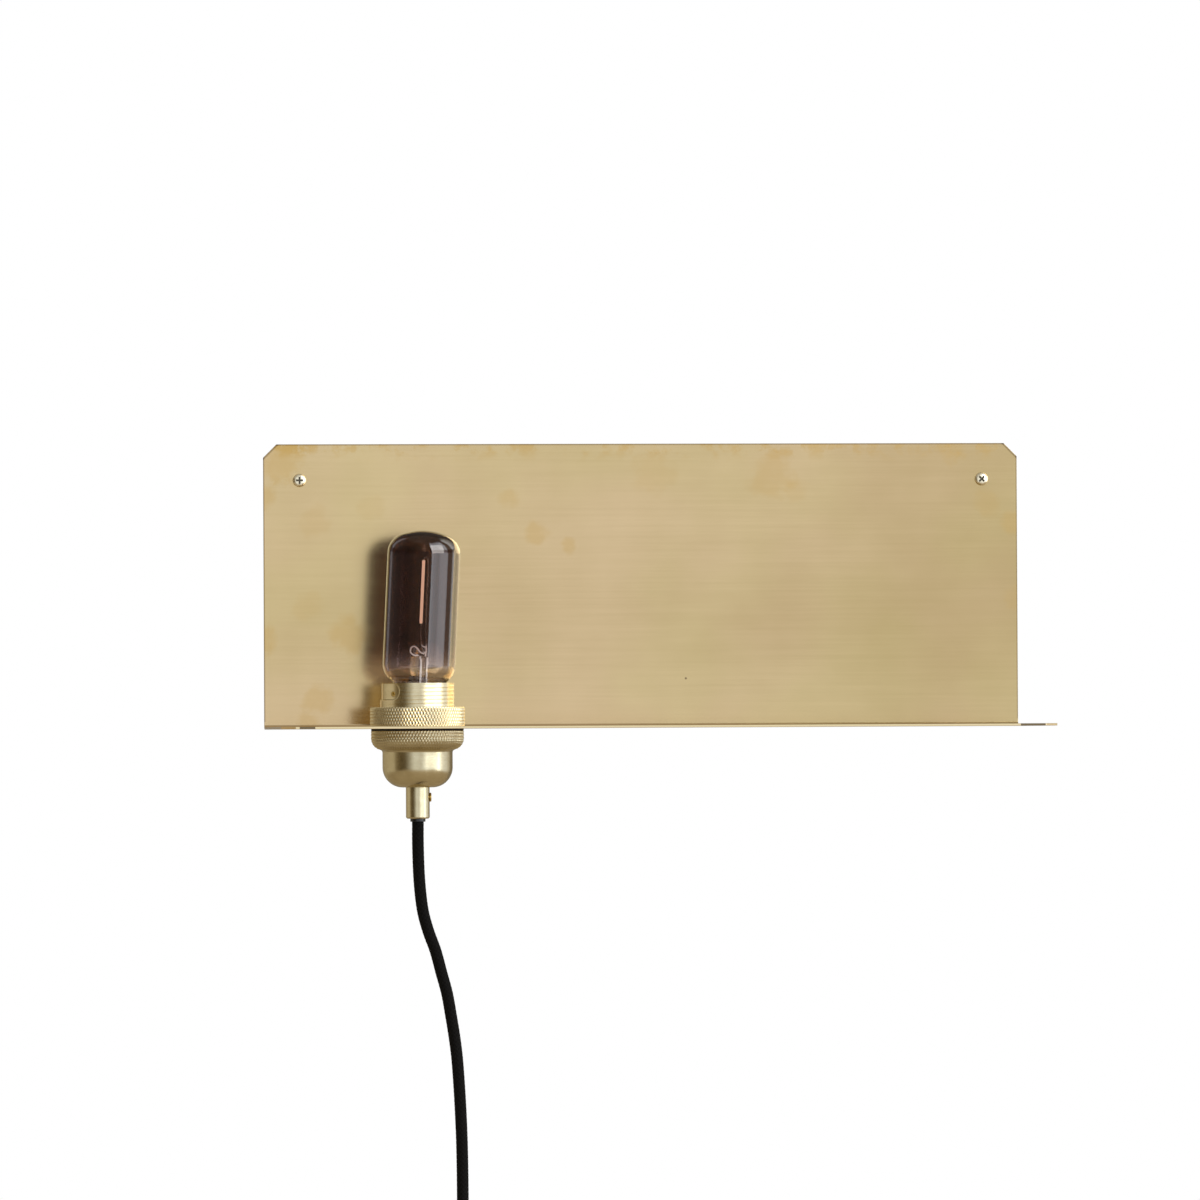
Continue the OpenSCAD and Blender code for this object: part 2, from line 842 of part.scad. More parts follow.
// One neck of the switch, narrowing towards the cord
module switch_neck(s) {
    scale([1, 1, s])
    translate([0, 0, switch_l / 2])
    rotate_extrude()
    polygon([[0, -1], [neck_r2, -1], [neck_r2, 0], [neck_r1, neck_l], [0, neck_l]]);
}

// A solid half of the switch: the part of the whole shape between two depths
module switch_half(y0, y1) {
    slab(switch_w, switch_l, switch_round, y0, y1);
    for (s = [-1, 1])
        intersection() {
            switch_neck(s);
            translate([-20, y0, -switch_l]) cube([40, y1 - y0, 2 * switch_l]);
        }
}

module switch_base() {
    color("#1c1b1a")
    at_switch()
    difference() {
        switch_half(0, switch_t / 2);
        slab(switch_w - 2 * switch_skin, switch_l - 18, 3, -1, switch_t / 2 - switch_skin);
        for (s = [-1, 1]) {
            translate([0, -e, s * (switch_l / 2 - 10)])
            scale([1, 1, s]) cylinder(r = 3.4, h = neck_l + 10 + e);
            translate([s * switch_screw_x, 0, s * switch_screw_z])
            rotate([-90, 0, 0])
            cylinder(d = 3.2, h = switch_t);
            translate([s * switch_screw_x, switch_t / 2 - 2.6, s * switch_screw_z])
            rotate([-90, 0, 0])
            cylinder(d = 5.8, h = switch_t);
        }
    }
}

module switch_cover() {
    color("#1c1b1a")
    at_switch() {
        difference() {
            switch_half(-switch_t / 2, 0);
            slab(switch_w - 2 * switch_skin, switch_l - 18, 3, -switch_t / 2 + switch_skin, 1);
            translate([-lever_w / 2 - 0.4, -switch_t, -lever_l / 2 - 0.5])
            cube([lever_w + 0.8, switch_t, lever_l + 1]);
            for (s = [-1, 1]) {
                translate([0, e, s * (switch_l / 2 - 10)])
                scale([1, 1, s]) cylinder(r = 3.4, h = neck_l + 10 + e);
                translate([s * switch_screw_x, -switch_t / 2 + 3, s * switch_screw_z])
                rotate([-90, 0, 0])
                cylinder(d = 2.4, h = switch_t);
            }
        }
        for (s = [-1, 1])
            difference() {
                translate([s * (lever_w / 2 + 1.5) - 1, -switch_t / 2 + switch_skin - e, -3])
                cube([2, 6, 6]);
                translate([-12, pivot_y, 0]) rotate([0, 90, 0]) cylinder(d = pivot_pin_d, h = 24);
            }
    }
}

module rocker_pin() {
    color("#b9b3a4")
    at_switch()
    translate([-lever_w / 2 - 2.4, pivot_y, 0])
    rotate([0, 90, 0])
    cylinder(d = pivot_pin_d, h = lever_w + 4.8);
}

// The rocker, its two faces rising to either side of its pivot, set to its first position
module switch_rocker() {
    rise = 3.1;
    color("#262524")
    at_switch()
    translate([0, pivot_y, 0])
    rotate([rocker_tilt, 0, 0])
    difference() {
        intersection() {
            rotate([0, 90, 0]) cylinder(r = lever_l / 2, h = lever_w, center = true);
            rotate([90, 0, 90])
            linear_extrude(lever_w, center = true)
            polygon([
                [-rise, 0], [-rise - tan(rocker_tilt) * lever_l, lever_l],
                [2, lever_l], [2, -lever_l], [-rise - tan(rocker_tilt) * lever_l, -lever_l]]);
        }
        rotate([0, 90, 0])
        cylinder(d = pivot_pin_d + 2 * pivot_play, h = lever_w + 2, center = true);
    }
}

module switch_contacts() {
    middle = contact_z - contact_l / 2;
    color("#c9a95e")
    at_switch()
    for (s = [-1, 1]) {
        translate([-2.5, switch_t / 2 - switch_skin - 2.4, s * middle - contact_l / 2])
        cube([5, 2.4, contact_l]);
        translate([-2.5, switch_t / 2 - switch_skin - 4.6, s * middle - 0.4])
        cube([5, 2.3, 0.8]);
    }
}

module switch_screws() {
    color("#b9b3a4")
    at_switch()
    for (s = [-1, 1])
        translate([s * switch_screw_x, 0, s * switch_screw_z])
        rotate([-90, 0, 0])
        difference() {
            union() {
                translate([0, 0, -6]) cylinder(d = 2.3, h = switch_t / 2 + 3.5);
                translate([0, 0, switch_t / 2 - 2.6]) cylinder(d = 5.4, h = 1.8);
            }
            translate([-3, -0.4, switch_t / 2 - 1.7]) cube([6, 0.8, 2]);
            translate([-0.4, -3, switch_t / 2 - 1.7]) cube([0.8, 6, 2]);
        }
}

// The cores inside the switch: two that pass, and the cut one that feeds the contacts
module switch_cores() {
    back = switch_t / 2 - switch_skin - 1.1;
    contact_y = switch_t / 2 - switch_skin - 1.2;
    half = switch_l / 2 - 1;
    side = switch_w / 2 - switch_skin - 1.3;
    for (s = [-1, 1]) {
        color(s < 0 ? "#2f5f9e" : "#6f9a3a")
        at_switch()
        tube([[s * 1.6, 1.4, half], [s * 1.6, 1.4, half - 8.5], [s * 3, 2, half - 11.5],
            [s * side, back - 1, half - 15], [s * side, back, half - 18.5],
            [s * side, back, 0], [s * side, back, 18.5 - half],
            [s * side, back - 1, 15 - half], [s * 3, 2, 11.5 - half],
            [s * 1.6, 1.4, 8.5 - half], [s * 1.6, 1.4, -half]], 0.9, 8);
        color("#6b4a2b")
        at_switch()
        tube([[0, -1.4, s * half], [0, -1.4, s * (half - 8.5)], [0, 1, s * (half - 10.5)],
            [0, contact_y, s * (contact_z + 2)], [0, contact_y, s * contact_z]], 0.9, 8);
    }
}

function straight_down(from, to, n) = [for (i = [0:n]) from + (to - from) * i / n];

module cord_mid() {
    color("#171615") at_exit() tube(straight_down(mid_from, mid_to, 2), cord_r, 8);
}

// The coil: it spirals in and out at a steady rate and climbs a layer at each reversal
function fold(t) =
    let (layer = floor(t / turns_per_layer), into = t - layer * turns_per_layer)
    layer % 2 == 0 ? into : turns_per_layer - into;
function climb(t, k) =
    let (s = (t - k * turns_per_layer) / 0.5 + 0.5)
    s <= 0 ? 0 : s >= 1 ? 1 : (1 - cos(180 * s)) / 2;
function coil_depth(t) =
    coil_step * [for (k = [1:coil_layers - 1]) climb(t, k)] * [for (k = [1:coil_layers - 1]) 1];
function coil_point(t) =
    let (a = 180 + 360 * t, r = coil_out - coil_step * fold(min(t, coil_turns - 0.0001)))
    [hang_x + coil_out + r * cos(a), hang_y + coil_depth(t), coil_z + r * sin(a)];
coil_path = concat(
    [[hang_x, hang_y, coil_z + coil_straight]],
    [for (i = [0:coil_turns * coil_rings]) coil_point(i / coil_rings)],
    [[hang_x, tail_y, coil_z - coil_straight]]);
coil_gap = min([for (i = [0:len(coil_path) - 1], j = [i + coil_rings / 2:len(coil_path) - 1])
    norm(coil_path[i] - coil_path[j])]) - cord_d;

module cord_coil() {
    echo(least_gap_between_turns = coil_gap);
    color("#171615") at_exit() tube(coil_path, cord_r, 6);
}

module coil_tie() {
    t = 1.2;
    play = 0.5;
    in_r = coil_out - coil_step * turns_per_layer - cord_r - play;
    out_r = coil_out + cord_r + play;
    y0 = hang_y - cord_r - play;
    y1 = tail_y + cord_r + play;
    color("#3a3836")
    at_exit([hang_x + coil_out, 0, coil_z])
    translate([0, 0, -4])
    linear_extrude(8)
    difference() {
        translate([in_r - t, y0 - t]) square([out_r - in_r + 2 * t, y1 - y0 + 2 * t]);
        translate([in_r, y0]) square([out_r - in_r, y1 - y0]);
    }
}

module cord_tail() {
    color("#171615") at_exit() tube(straight_down(tail_from, tail_to, 2), cord_r, 8);
}

module at_plug() {
    at_exit([hang_x, tail_y, plug_z]) children();
}

// Tapered rubber tail of the plug, ringed by grooves
module plug_relief() {
    rings = 6;
    step = (relief_l - 5) / rings;
    color("#1c1b1a")
    at_plug()
    translate([0, 0, relief_base])
    rotate_extrude()
    polygon(concat(
        [[0, 0], [relief_r, 0]],
        [for (i = [0:rings - 1], k = [0:3])
            let (z = 2 + i * step + [0, 0, step / 2, step / 2][k],
                 taper = relief_r - (relief_r - cord_r - 0.8) * z / relief_l)
            [taper - (k == 1 || k == 2 ? 0.8 : 0), z]],
        [[cord_r + 0.8, relief_l], [0, relief_l]]));
}

module plug_body() {
    round_r = 3;
    color("#1c1b1a")
    at_plug()
    difference() {
        translate([0, plug_t / 2, 0])
        rotate([90, 0, 0])
        rotate_extrude()
        polygon(concat(
            [[0, 0], [plug_d / 2 - 1, 0], [plug_d / 2, 1]],
            arc([plug_d / 2 - round_r, plug_t - round_r], round_r, 0, 90, 6),
            [[0, plug_t]]));
        translate([0, 0, relief_base])
        cylinder(r = relief_r + e, h = 10);
        for (s = [-1, 1]) {
            translate([s * (plug_d / 2 - 1.6), plug_t / 2 - 17, 0])
            scale([s, 1, 1])
            translate([0, 0, -2.5]) cube([3, 18, 5]);
            translate([-clip_w / 2, plug_t / 2 - 14, s > 0 ? clip_at : -clip_at - 7])
            cube([clip_w, 16, 7]);
            translate([s * pin_gap / 2, plug_t / 2 - pin_root_l, 0])
            rotate([-90, 0, 0])
            cylinder(d = pin_root_d, h = 10);
        }
    }
}

module plug_pins() {
    color("#c9c6bd")
    at_plug()
    for (s = [-1, 1])
        translate([s * pin_gap / 2, plug_t / 2, 0])
        rotate([-90, 0, 0])
        rotate_extrude()
        polygon([
            [0, -pin_root_l], [pin_root_d / 2, -pin_root_l], [pin_root_d / 2, 0],
            [pin_d / 2, 0], [pin_d / 2, pin_l - pin_tip], [pin_d / 2 - 1.2, pin_l],
            [0, pin_l]]);
}

module plug_earth_clips() {
    color("#c9c6bd")
    at_plug()
    for (s = [-1, 1])
        translate([-clip_w / 2, plug_t / 2 - 14, s > 0 ? clip_at : -clip_at - clip_t])
        cube([clip_w, 13, clip_t]);
}

shelf_plate();
wall_screws();
upper_clamp_ring();
shelf_washer();
holder_skirt();
skirt_lock_screw();
holder_cap();
ceramic_core();
ceramic_liner();
screw_shell();
shell_screws();
centre_contact();
contact_rivet();
live_terminal();
neutral_terminal();
terminal_screws();
hollow_nipple();
nipple_nut();
earth_tag();
cord_grip();
grip_lock_screw();
grip_insert();
cord_end();
live_wire();
neutral_wire();
earth_wire();
bulb_glass();
bulb_stem();
filament_stick();
filament_wires();
bulb_cap();
bulb_insulator();
bulb_tip();
bulb_driver();
cord_drop();
switch_base();
switch_cover();
switch_rocker();
rocker_pin();
switch_contacts();
switch_screws();
switch_cores();
cord_mid();
cord_coil();
coil_tie();
cord_tail();
plug_relief();
plug_body();
plug_pins();
plug_earth_clips();
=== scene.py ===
import math

import bmesh
import bpy
import numpy as np
from mathutils import Matrix, Vector


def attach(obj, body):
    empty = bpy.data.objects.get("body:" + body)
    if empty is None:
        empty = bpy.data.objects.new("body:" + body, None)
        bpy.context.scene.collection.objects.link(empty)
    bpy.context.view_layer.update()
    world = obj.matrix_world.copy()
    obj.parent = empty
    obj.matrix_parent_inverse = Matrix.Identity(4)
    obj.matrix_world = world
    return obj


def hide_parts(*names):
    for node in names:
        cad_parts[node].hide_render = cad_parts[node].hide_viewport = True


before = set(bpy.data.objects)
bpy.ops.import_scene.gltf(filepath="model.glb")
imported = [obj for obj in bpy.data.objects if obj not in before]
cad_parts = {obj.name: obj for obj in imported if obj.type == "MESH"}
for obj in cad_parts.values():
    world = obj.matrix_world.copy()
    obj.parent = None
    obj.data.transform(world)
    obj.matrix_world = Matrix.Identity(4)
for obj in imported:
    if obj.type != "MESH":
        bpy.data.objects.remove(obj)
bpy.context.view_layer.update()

MM = 0.001
ROOT = "root"


# ---------------------------------------------------------------- camera
CAMERA_AT = Vector((-0.4916, -4.8052, -0.135))
CAMERA_TURN = (5.579, 0.849, -0.288)
LENS, SENSOR = 274.4, 36


def place_camera():
    """The camera stands about 4.8 m in front of the wall, level with the shelf, with a long lens."""
    yaw, pitch, roll = (math.radians(a) for a in CAMERA_TURN)
    ahead = Vector((math.sin(yaw) * math.cos(pitch), math.cos(yaw) * math.cos(pitch), math.sin(pitch)))
    right = Vector((math.cos(yaw), -math.sin(yaw), 0))
    up = right.cross(ahead)
    right, up = (
        math.cos(roll) * right + math.sin(roll) * up,
        -math.sin(roll) * right + math.cos(roll) * up,
    )
    data = bpy.data.cameras.new("camera")
    data.sensor_width = SENSOR
    data.lens = LENS
    data.clip_start = 0.1
    data.clip_end = 50
    camera = bpy.data.objects.new("camera", data)
    turn = Matrix((right, up, -ahead)).transposed().to_4x4()
    camera.matrix_world = Matrix.Translation(CAMERA_AT) @ turn
    bpy.context.collection.objects.link(camera)
    bpy.context.scene.camera = camera


# ---------------------------------------------------------------- meshes
def make_piece(name, points, faces, material=None, smooth=True):
    """A new object from points and faces."""
    mesh = bpy.data.meshes.new(name)
    mesh.from_pydata([tuple(p) for p in points], [], [tuple(f) for f in faces])
    mesh.validate()
    piece = bpy.data.objects.new(name, mesh)
    bpy.context.collection.objects.link(piece)
    if material:
        mesh.materials.append(material)
    if smooth:
        mesh.polygons.foreach_set("use_smooth", [True] * len(mesh.polygons))
    return piece


# ---------------------------------------------------------------- the lead
# The route's points repeat those of the part's source, here in metres.
EXIT = np.array([-0.125, -0.075, -0.1792])
CORD_D = 0.0062
# Bundles of thread that wind each way round the plaited sleeve.
CARRIERS = 8
DROP_ROUTE = np.array([
    [0, 0, 0], [0, 0, -13], [0.6, 0, -30], [2.2, 0.4, -45], [5, 1, -56], [9, 2, -67],
    [12, 3, -78], [15, 3.8, -89], [17, 4.6, -100], [18.8, 5.3, -111], [20.2, 5.8, -122],
    [21.2, 6.2, -135], [22, 6.6, -149], [22.6, 6.8, -164], [22.9, 7, -179],
    [23, 7, -194], [23, 7, -209],
]) * MM
# Below here all places are from EXIT. The lead hangs here, and leaves the switch at this level.
HANG_X, HANG_Y = 0.023, 0.007
SWITCH_LOW = -0.281
MID_L = 0.030
# The coil's turns, layers, spacing, greatest radius and points in a turn.
COIL_TURNS, COIL_LAYERS, COIL_STEP, COIL_OUT, COIL_RINGS = 7, 4, 0.0068, 0.0417, 24
COIL_Z = SWITCH_LOW - MID_L - CORD_D
TAIL_Y = HANG_Y + (COIL_LAYERS - 1) * COIL_STEP
TAIL_L = 0.022
PER_LAYER = COIL_TURNS / COIL_LAYERS
# A wider spacing of points for the routes worked out in declare_cords than for the drawn leads.
PATH_STEP = 0.004


def fold(t):
    """Turns from the outside at turn t: the coil winds inwards in one layer and outwards in the next."""
    layer = math.floor(t / PER_LAYER)
    into = t - layer * PER_LAYER
    return into if layer % 2 == 0 else PER_LAYER - into


def climb(t, k):
    """Share of the way up from layer k - 1 to layer k at turn t, within half a turn."""
    s = (t - k * PER_LAYER) / 0.5 + 0.5
    return 0 if s <= 0 else 1 if s >= 1 else (1 - math.cos(math.pi * s)) / 2


def coil_point(t):
    """The coil's route at turn t, from EXIT."""
    a = math.pi + 2 * math.pi * t
    r = COIL_OUT - COIL_STEP * fold(min(t, COIL_TURNS - 0.0001))
    depth = COIL_STEP * sum(climb(t, k) for k in range(1, COIL_LAYERS))
    return [HANG_X + COIL_OUT + r * math.cos(a), HANG_Y + depth, COIL_Z + r * math.sin(a)]


def lower_route():
    """From the switch down, round the coil and on to the plug."""
    low = COIL_Z - CORD_D
    mid = [[HANG_X, HANG_Y, z] for z in np.linspace(SWITCH_LOW, COIL_Z + CORD_D, 8)]
    coil = [coil_point(i / COIL_RINGS) for i in range(COIL_TURNS * COIL_RINGS + 1)]
    tail = [[HANG_X, TAIL_Y, z] for z in np.linspace(low, low - TAIL_L, 6)]
    return np.array(mid + coil + tail)


def even_path(points, step):
    """Points at an even spacing along a smooth curve through the given ones."""
    p = np.asarray(points, float)
    ends = np.vstack([2 * p[0] - p[1], p, 2 * p[-1] - p[-2]])
    fine = []
    for i in range(1, len(ends) - 2):
        a, b, c, d = ends[i - 1:i + 3]
        for t in np.linspace(0, 1, 12, endpoint=False):
            fine.append(0.5 * (
                2 * b + (c - a) * t + (2 * a - 5 * b + 4 * c - d) * t ** 2
                + (3 * b - a - 3 * c + d) * t ** 3))
    fine.append(ends[-2])
    fine = np.array(fine)
    run = np.concatenate([[0], np.cumsum(np.linalg.norm(np.diff(fine, axis=0), axis=1))])
    count = max(2, round(run[-1] / step) + 1)
    at = np.linspace(0, run[-1], count)
    return np.column_stack([np.interp(at, run, fine[:, k]) for k in range(3)]), run[-1]


def tangents(path):
    """The direction of the path at each of its points."""
    along = np.gradient(path, axis=0)
    return along / np.linalg.norm(along, axis=1)[:, None]


def frames_along(path):
    """Two directions across the path at each of its points, carried along without twist."""
    along = tangents(path)
    side = np.cross(along[0], [0, 1, 0])
    if np.linalg.norm(side) < 0.1:
        side = np.cross(along[0], [1, 0, 0])
    frames = []
    for ahead in along:
        side = side - ahead * np.dot(side, ahead)
        side /= np.linalg.norm(side)
        frames.append((side, np.cross(ahead, side)))
    return frames


def tube_faces(rings, sides):
    """The faces of a tube of so many rings, with both its ends closed."""
    faces = []
    for i in range(rings - 1):
        for k in range(sides):
            a, b = i * sides + k, i * sides + (k + 1) % sides
            faces.append((a, b, b + sides, a + sides))
    return faces + [range(sides - 1, -1, -1), range((rings - 1) * sides, rings * sides)]


def cord_tube(name, route, step, sides, relief, material):
    """A tube along the route, with the plaited sleeve's ridges in its surface and in its UV map."""
    radius = CORD_D / 2
    path, length = even_path(route, step)
    n = len(path)
    points = []
    for i, (side, other) in enumerate(frames_along(path)):
        run = length * i / (n - 1)
        for k in range(sides):
            a = 2 * math.pi * k / sides
            u = a * CARRIERS / (2 * math.pi)
            v = run * CARRIERS / (2 * math.pi * radius)
            one, two = u + v, u - v
            over = (math.floor(one) + math.floor(two)) % 2
            f = (one if over else two) % 1
            r = radius * (1 - relief * (1 - math.sin(math.pi * f) ** 0.6))
            points.append(EXIT + path[i] + r * (math.cos(a) * side + math.sin(a) * other))
    piece = make_piece(name, points, tube_faces(n, sides), material)
    layer = piece.data.uv_layers.new(name="run")
    ring = np.array([v // sides for v in range(n * sides)])
    turn = np.array([v % sides for v in range(n * sides)])
    uv = []
    for face in piece.data.polygons:
        verts = list(face.vertices)
        wrap = max(turn[v] for v in verts) == sides - 1 and min(turn[v] for v in verts) == 0
        for v in verts:
            t = turn[v] + (sides if wrap and turn[v] == 0 else 0)
            uv += [t / sides, ring[v] / (n - 1) * length / (2 * math.pi * radius)]
    layer.data.foreach_set("uv", uv)
    return piece, length


def make_cords(material):
    """Both leads and their lengths. They ride on the root and stand for the CAD cords."""
    upper, upper_l = cord_tube("lead_upper", DROP_ROUTE, 0.0006, 32, 0.06, material)
    lower, lower_l = cord_tube("lead_lower", lower_route(), 0.003, 14, 0.0, material)
    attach(upper, ROOT)
    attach(lower, ROOT)
    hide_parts("cord_drop")
    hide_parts("cord_mid", "cord_coil", "cord_tail")
    return upper, upper_l, lower, lower_l


def declare_cords(upper, upper_l, lower, lower_l):
    """Works out each lead's route at an even spacing, and keeps none of it."""
    [list(EXIT + p) for p in even_path(DROP_ROUTE, PATH_STEP)[0]]
    tuple(EXIT + lower_route()[0])
    [list(EXIT + p) for p in even_path(lower_route(), PATH_STEP)[0]]


# ---------------------------------------------------------------- shaders
class Val:
    """One value in a shader, so that shader maths is written as plain expressions."""

    def __init__(self, tree, socket=None):
        self.tree, self.socket = tree, socket

    def node(self, kind, sockets=(), output=0, stops=(), **settings):
        """Any node: first its settings and its ramp's stops, then its sockets, by place or by name."""
        made = self.tree.nodes.new(kind)
        for key, value in settings.items():
            setattr(made, key, value)
        if stops:
            ramp = made.color_ramp
            ramp.interpolation = "EASE"
            for place, _ in stops[1:-1]:
                ramp.elements.new(place)
            for element, (place, colour) in zip(ramp.elements, stops):
                element.position, element.color = place, colour
        for slot, item in sockets.items() if isinstance(sockets, dict) else enumerate(sockets):
            if isinstance(item, Val):
                self.tree.links.new(item.socket, made.inputs[slot])
            else:
                made.inputs[slot].default_value = item
        return Val(self.tree, made.outputs[output])

    def math(self, kind, *others):
        return self.node("ShaderNodeMath", [self, *others], operation=kind)

    def __add__(self, other):
        return self.math("ADD", other)

    def __sub__(self, other):
        return self.math("SUBTRACT", other)

    def __rsub__(self, other):
        return self.node("ShaderNodeMath", [other, self], operation="SUBTRACT")

    def __mul__(self, other):
        return self.math("MULTIPLY", other)

    def __truediv__(self, other):
        return self.math("DIVIDE", other)

    def __pow__(self, other):
        return self.math("POWER", other)

    def __lt__(self, other):
        return self.math("LESS_THAN", other)

    def __gt__(self, other):
        return self.math("GREATER_THAN", other)

    __radd__ = __add__
    __rmul__ = __mul__

    def smooth(self, low, high):
        """From 0 at low to 1 at high, with soft ends."""
        return self.node(
            "ShaderNodeMapRange", {0: self, 1: low, 2: high}, interpolation_type="SMOOTHSTEP")

    def blend(self, one, two):
        """A colour between two, by this value."""
        return self.node("ShaderNodeMix", {0: self, 6: one, 7: two}, output=2, data_type="RGBA")

    def ramp(self, stops):
        """A colour that follows this value from stop to stop: (place, colour)."""
        return self.node("ShaderNodeValToRGB", [self], stops=stops)

    def times(self, other):
        """This colour multiplied by another."""
        return self.node(
            "ShaderNodeMix", {0: 1.0, 6: self, 7: other}, output=2, data_type="RGBA", blend_type="MULTIPLY")

    def ray(self, kind):
        """What Light Path says of the ray."""
        return self.node("ShaderNodeLightPath", output=kind)

    def distance(self, place):
        """How far this place is from another one."""
        return self.node("ShaderNodeVectorMath", [self, place], output="Value", operation="DISTANCE")

    def parts(self):
        """The three parts of this vector."""
        made = self.node("ShaderNodeSeparateXYZ", [self]).socket.node
        return [Val(self.tree, socket) for socket in made.outputs]

    def places(self, scale=(1000, 1000, 1000)):
        """Object coordinates in mm, stretched by scale."""
        at = self.node("ShaderNodeTexCoord", output="Object")
        return self.node("ShaderNodeMapping", {"Vector": at, "Scale": scale})

    def noise(self, size, detail=2.0, rough=0.5, scale=(1000, 1000, 1000)):
        """Noise of this scale over the object, per mm."""
        return self.node("ShaderNodeTexNoise", {
            "Vector": self.places(scale), "Scale": size, "Detail": detail, "Roughness": rough})

    def feed(self, shader, name):
        """Connect this value to a socket of the shader."""
        self.tree.links.new(self.socket, shader.inputs[name])

    def bump(self, shader, strength, distance):
        """This value as the height of a fine relief."""
        self.node(
            "ShaderNodeBump", {"Height": self, "Strength": strength, "Distance": distance}
        ).feed(shader, "Normal")


def rgb(red, green, blue):
    """A colour given in screen values of 0 to 255."""
    return tuple(
        c / 12.92 if c <= 0.04045 else ((c + 0.055) / 1.055) ** 2.4
        for c in (red / 255, green / 255, blue / 255)) + (1.0,)


def new_material(name, **constants):
    """A material, its shader, and a start for its values. Constants are set on the shader's sockets."""
    material = bpy.data.materials.new(name)
    material.use_nodes = True
    shader = material.node_tree.nodes["Principled BSDF"]
    for key, value in constants.items():
        shader.inputs[key.replace("_", " ")].default_value = value
    return material, shader, Val(material.node_tree)


# The sheet in mm: half its width, its top, its shelf's front edge, its front face and its cut corners.
HALF_W, TOP, SHELF_FRONT, FACE, CORNER = 200, 19, -150, -1.2, 7
# Spots on the plate, tarnished patches and, left of the holder, painted reflection in a golden tone: X, Z and
# radius in mm, and strength.
TARNISH_AND_REFLECTION_SPOTS = (
    (-190, 10, 15, 1.0), (-200, -9, 9, 0.9), (-173, -22, 10, 0.4), (-143, -14, 9, 0.3),
    (-71, -10, 7, 0.7), (-55, -28, 8, 0.9), (-39, -35, 5, 0.9), (6, 4, 14, 0.4), (70, 3, 15, 0.7),
    (82, -6, 8, 0.4), (165, 18, 11, 0.8), (184, -14, 9, 0.5), (199, -24, 9, 0.8), (-200, -84, 9, 1.0),
    (-177, -66, 9, 0.4), (-154, -82, 13, 0.9), (-172, -116, 10, 0.8), (-176, -127, 8, 0.7),
    (200, -62, 8, 0.5),
)
# A small dark dot on the plate, and two dark stretches of the shelf's front edge, in mm: the right one is
# painted shade, the left one a black mark.
DOT_AT, DOT_R = (23, FACE, -105), 0.55
DARK_EDGES = ((180, 193), (-191, -183))


def sheet_brass():
    """Satin sheet with lengthwise brushing, faint clouds, warm tarnished patches with painted reflection in
    golden spots near the holder, broad painted shade and light, and darker edges of painted shade.
    """
    material, shader, start = new_material("sheet_brass", Metallic=1.0)
    place = start.places()
    x, y, z = place.parts()
    lines = start.noise(1.3, 3, 0.6, scale=(12, 900, 900))
    streaks = start.noise(0.35, 3, 0.6, scale=(25, 900, 900))
    clouds = start.noise(0.018, 3)
    hue = start.noise(0.011, 2)
    patches = start.noise(0.09, 4, 0.7)
    flecks = start.noise(0.9, 2)
    down = z * -1
    tone = 0.62 + (clouds - 0.5) * 0.45 + (lines - 0.5) * 0.14 + (streaks - 0.5) * 0.12
    # Painted shade and light: the tone darkens towards the right and in a band below the top, and lightens
    # low down near the holder.
    tone = tone - x.smooth(0, 230) * 0.32 - down.smooth(15, 75) * 0.10 + down.smooth(85, 125) * 0.16
    tone = tone.smooth(0, 1)
    green = tone.blend(rgb(202, 180, 127), rgb(233, 211, 163))
    pink = tone.blend(rgb(203, 178, 129), rgb(235, 209, 167))
    base = hue.smooth(0.35, 0.65).blend(green, pink)
    tarnish_and_reflection = z.smooth(8, 19) * patches.smooth(0.46, 0.64) * 0.6
    # The golden colour stands for tarnished patches, and in the spots left of the holder for painted
    # reflection.
    for spot_x, spot_z, radius, share in TARNISH_AND_REFLECTION_SPOTS:
        spot = 1 - place.distance((spot_x, FACE, spot_z)).smooth(radius * 0.2, radius * 1.5)
        ragged = (spot + (patches - 0.5) * 2.0).smooth(0.3, 1.0)
        tarnish_and_reflection = tarnish_and_reflection + ragged * spot.smooth(0, 0.35) * (share * 0.4)
    tarnish_and_reflection = tarnish_and_reflection.math("MINIMUM", 0.9)
    colour = tarnish_and_reflection.blend(base, rgb(212, 175, 104))
    colour = ((flecks > 0.79) * 0.35).blend(colour, rgb(120, 92, 60))
    colour = ((y < SHELF_FRONT + 0.3) * 0.85).blend(colour, rgb(250, 232, 188))
    width = x.math("ABSOLUTE")
    slope = HALF_W + TOP - CORNER
    # Painted shade: a thin dark line along the top edge, the cut corners and the sides.
    rim = z.smooth(TOP - 1.0, TOP - 0.3) + (width + z).smooth(slope - 1.7, slope - 1.0)
    rim = rim + width.smooth(HALF_W - 0.8, HALF_W - 0.3) * (z > -127)
    dot = place.distance(DOT_AT) < DOT_R
    # Of the front edge's dark stretches, the right one is painted shade and the left one a black mark.
    right, left = ((x > low) * (x < high) for low, high in DARK_EDGES)
    marks = (y < SHELF_FRONT + 0.1) * (right + left)
    # The dark brown takes this painted shade, the painted shade at the front edge's right end, the black mark
    # at its left end and the dark dot.
    edge = (rim * 0.45 + marks * 0.8 + dot * 0.7).math("MINIMUM", 0.8)
    edge.blend(colour, rgb(74, 52, 30)).feed(shader, "Base Color")
    gloss = 0.14 + (lines - 0.5) * 0.08 + (clouds - 0.5) * 0.05 + tarnish_and_reflection * 0.06
    gloss.feed(shader, "Roughness")
    lines.bump(shader, 0.12, 0.00003)
    return material


# How far each wall screw is from the middle.
SCREW_X = 0.181


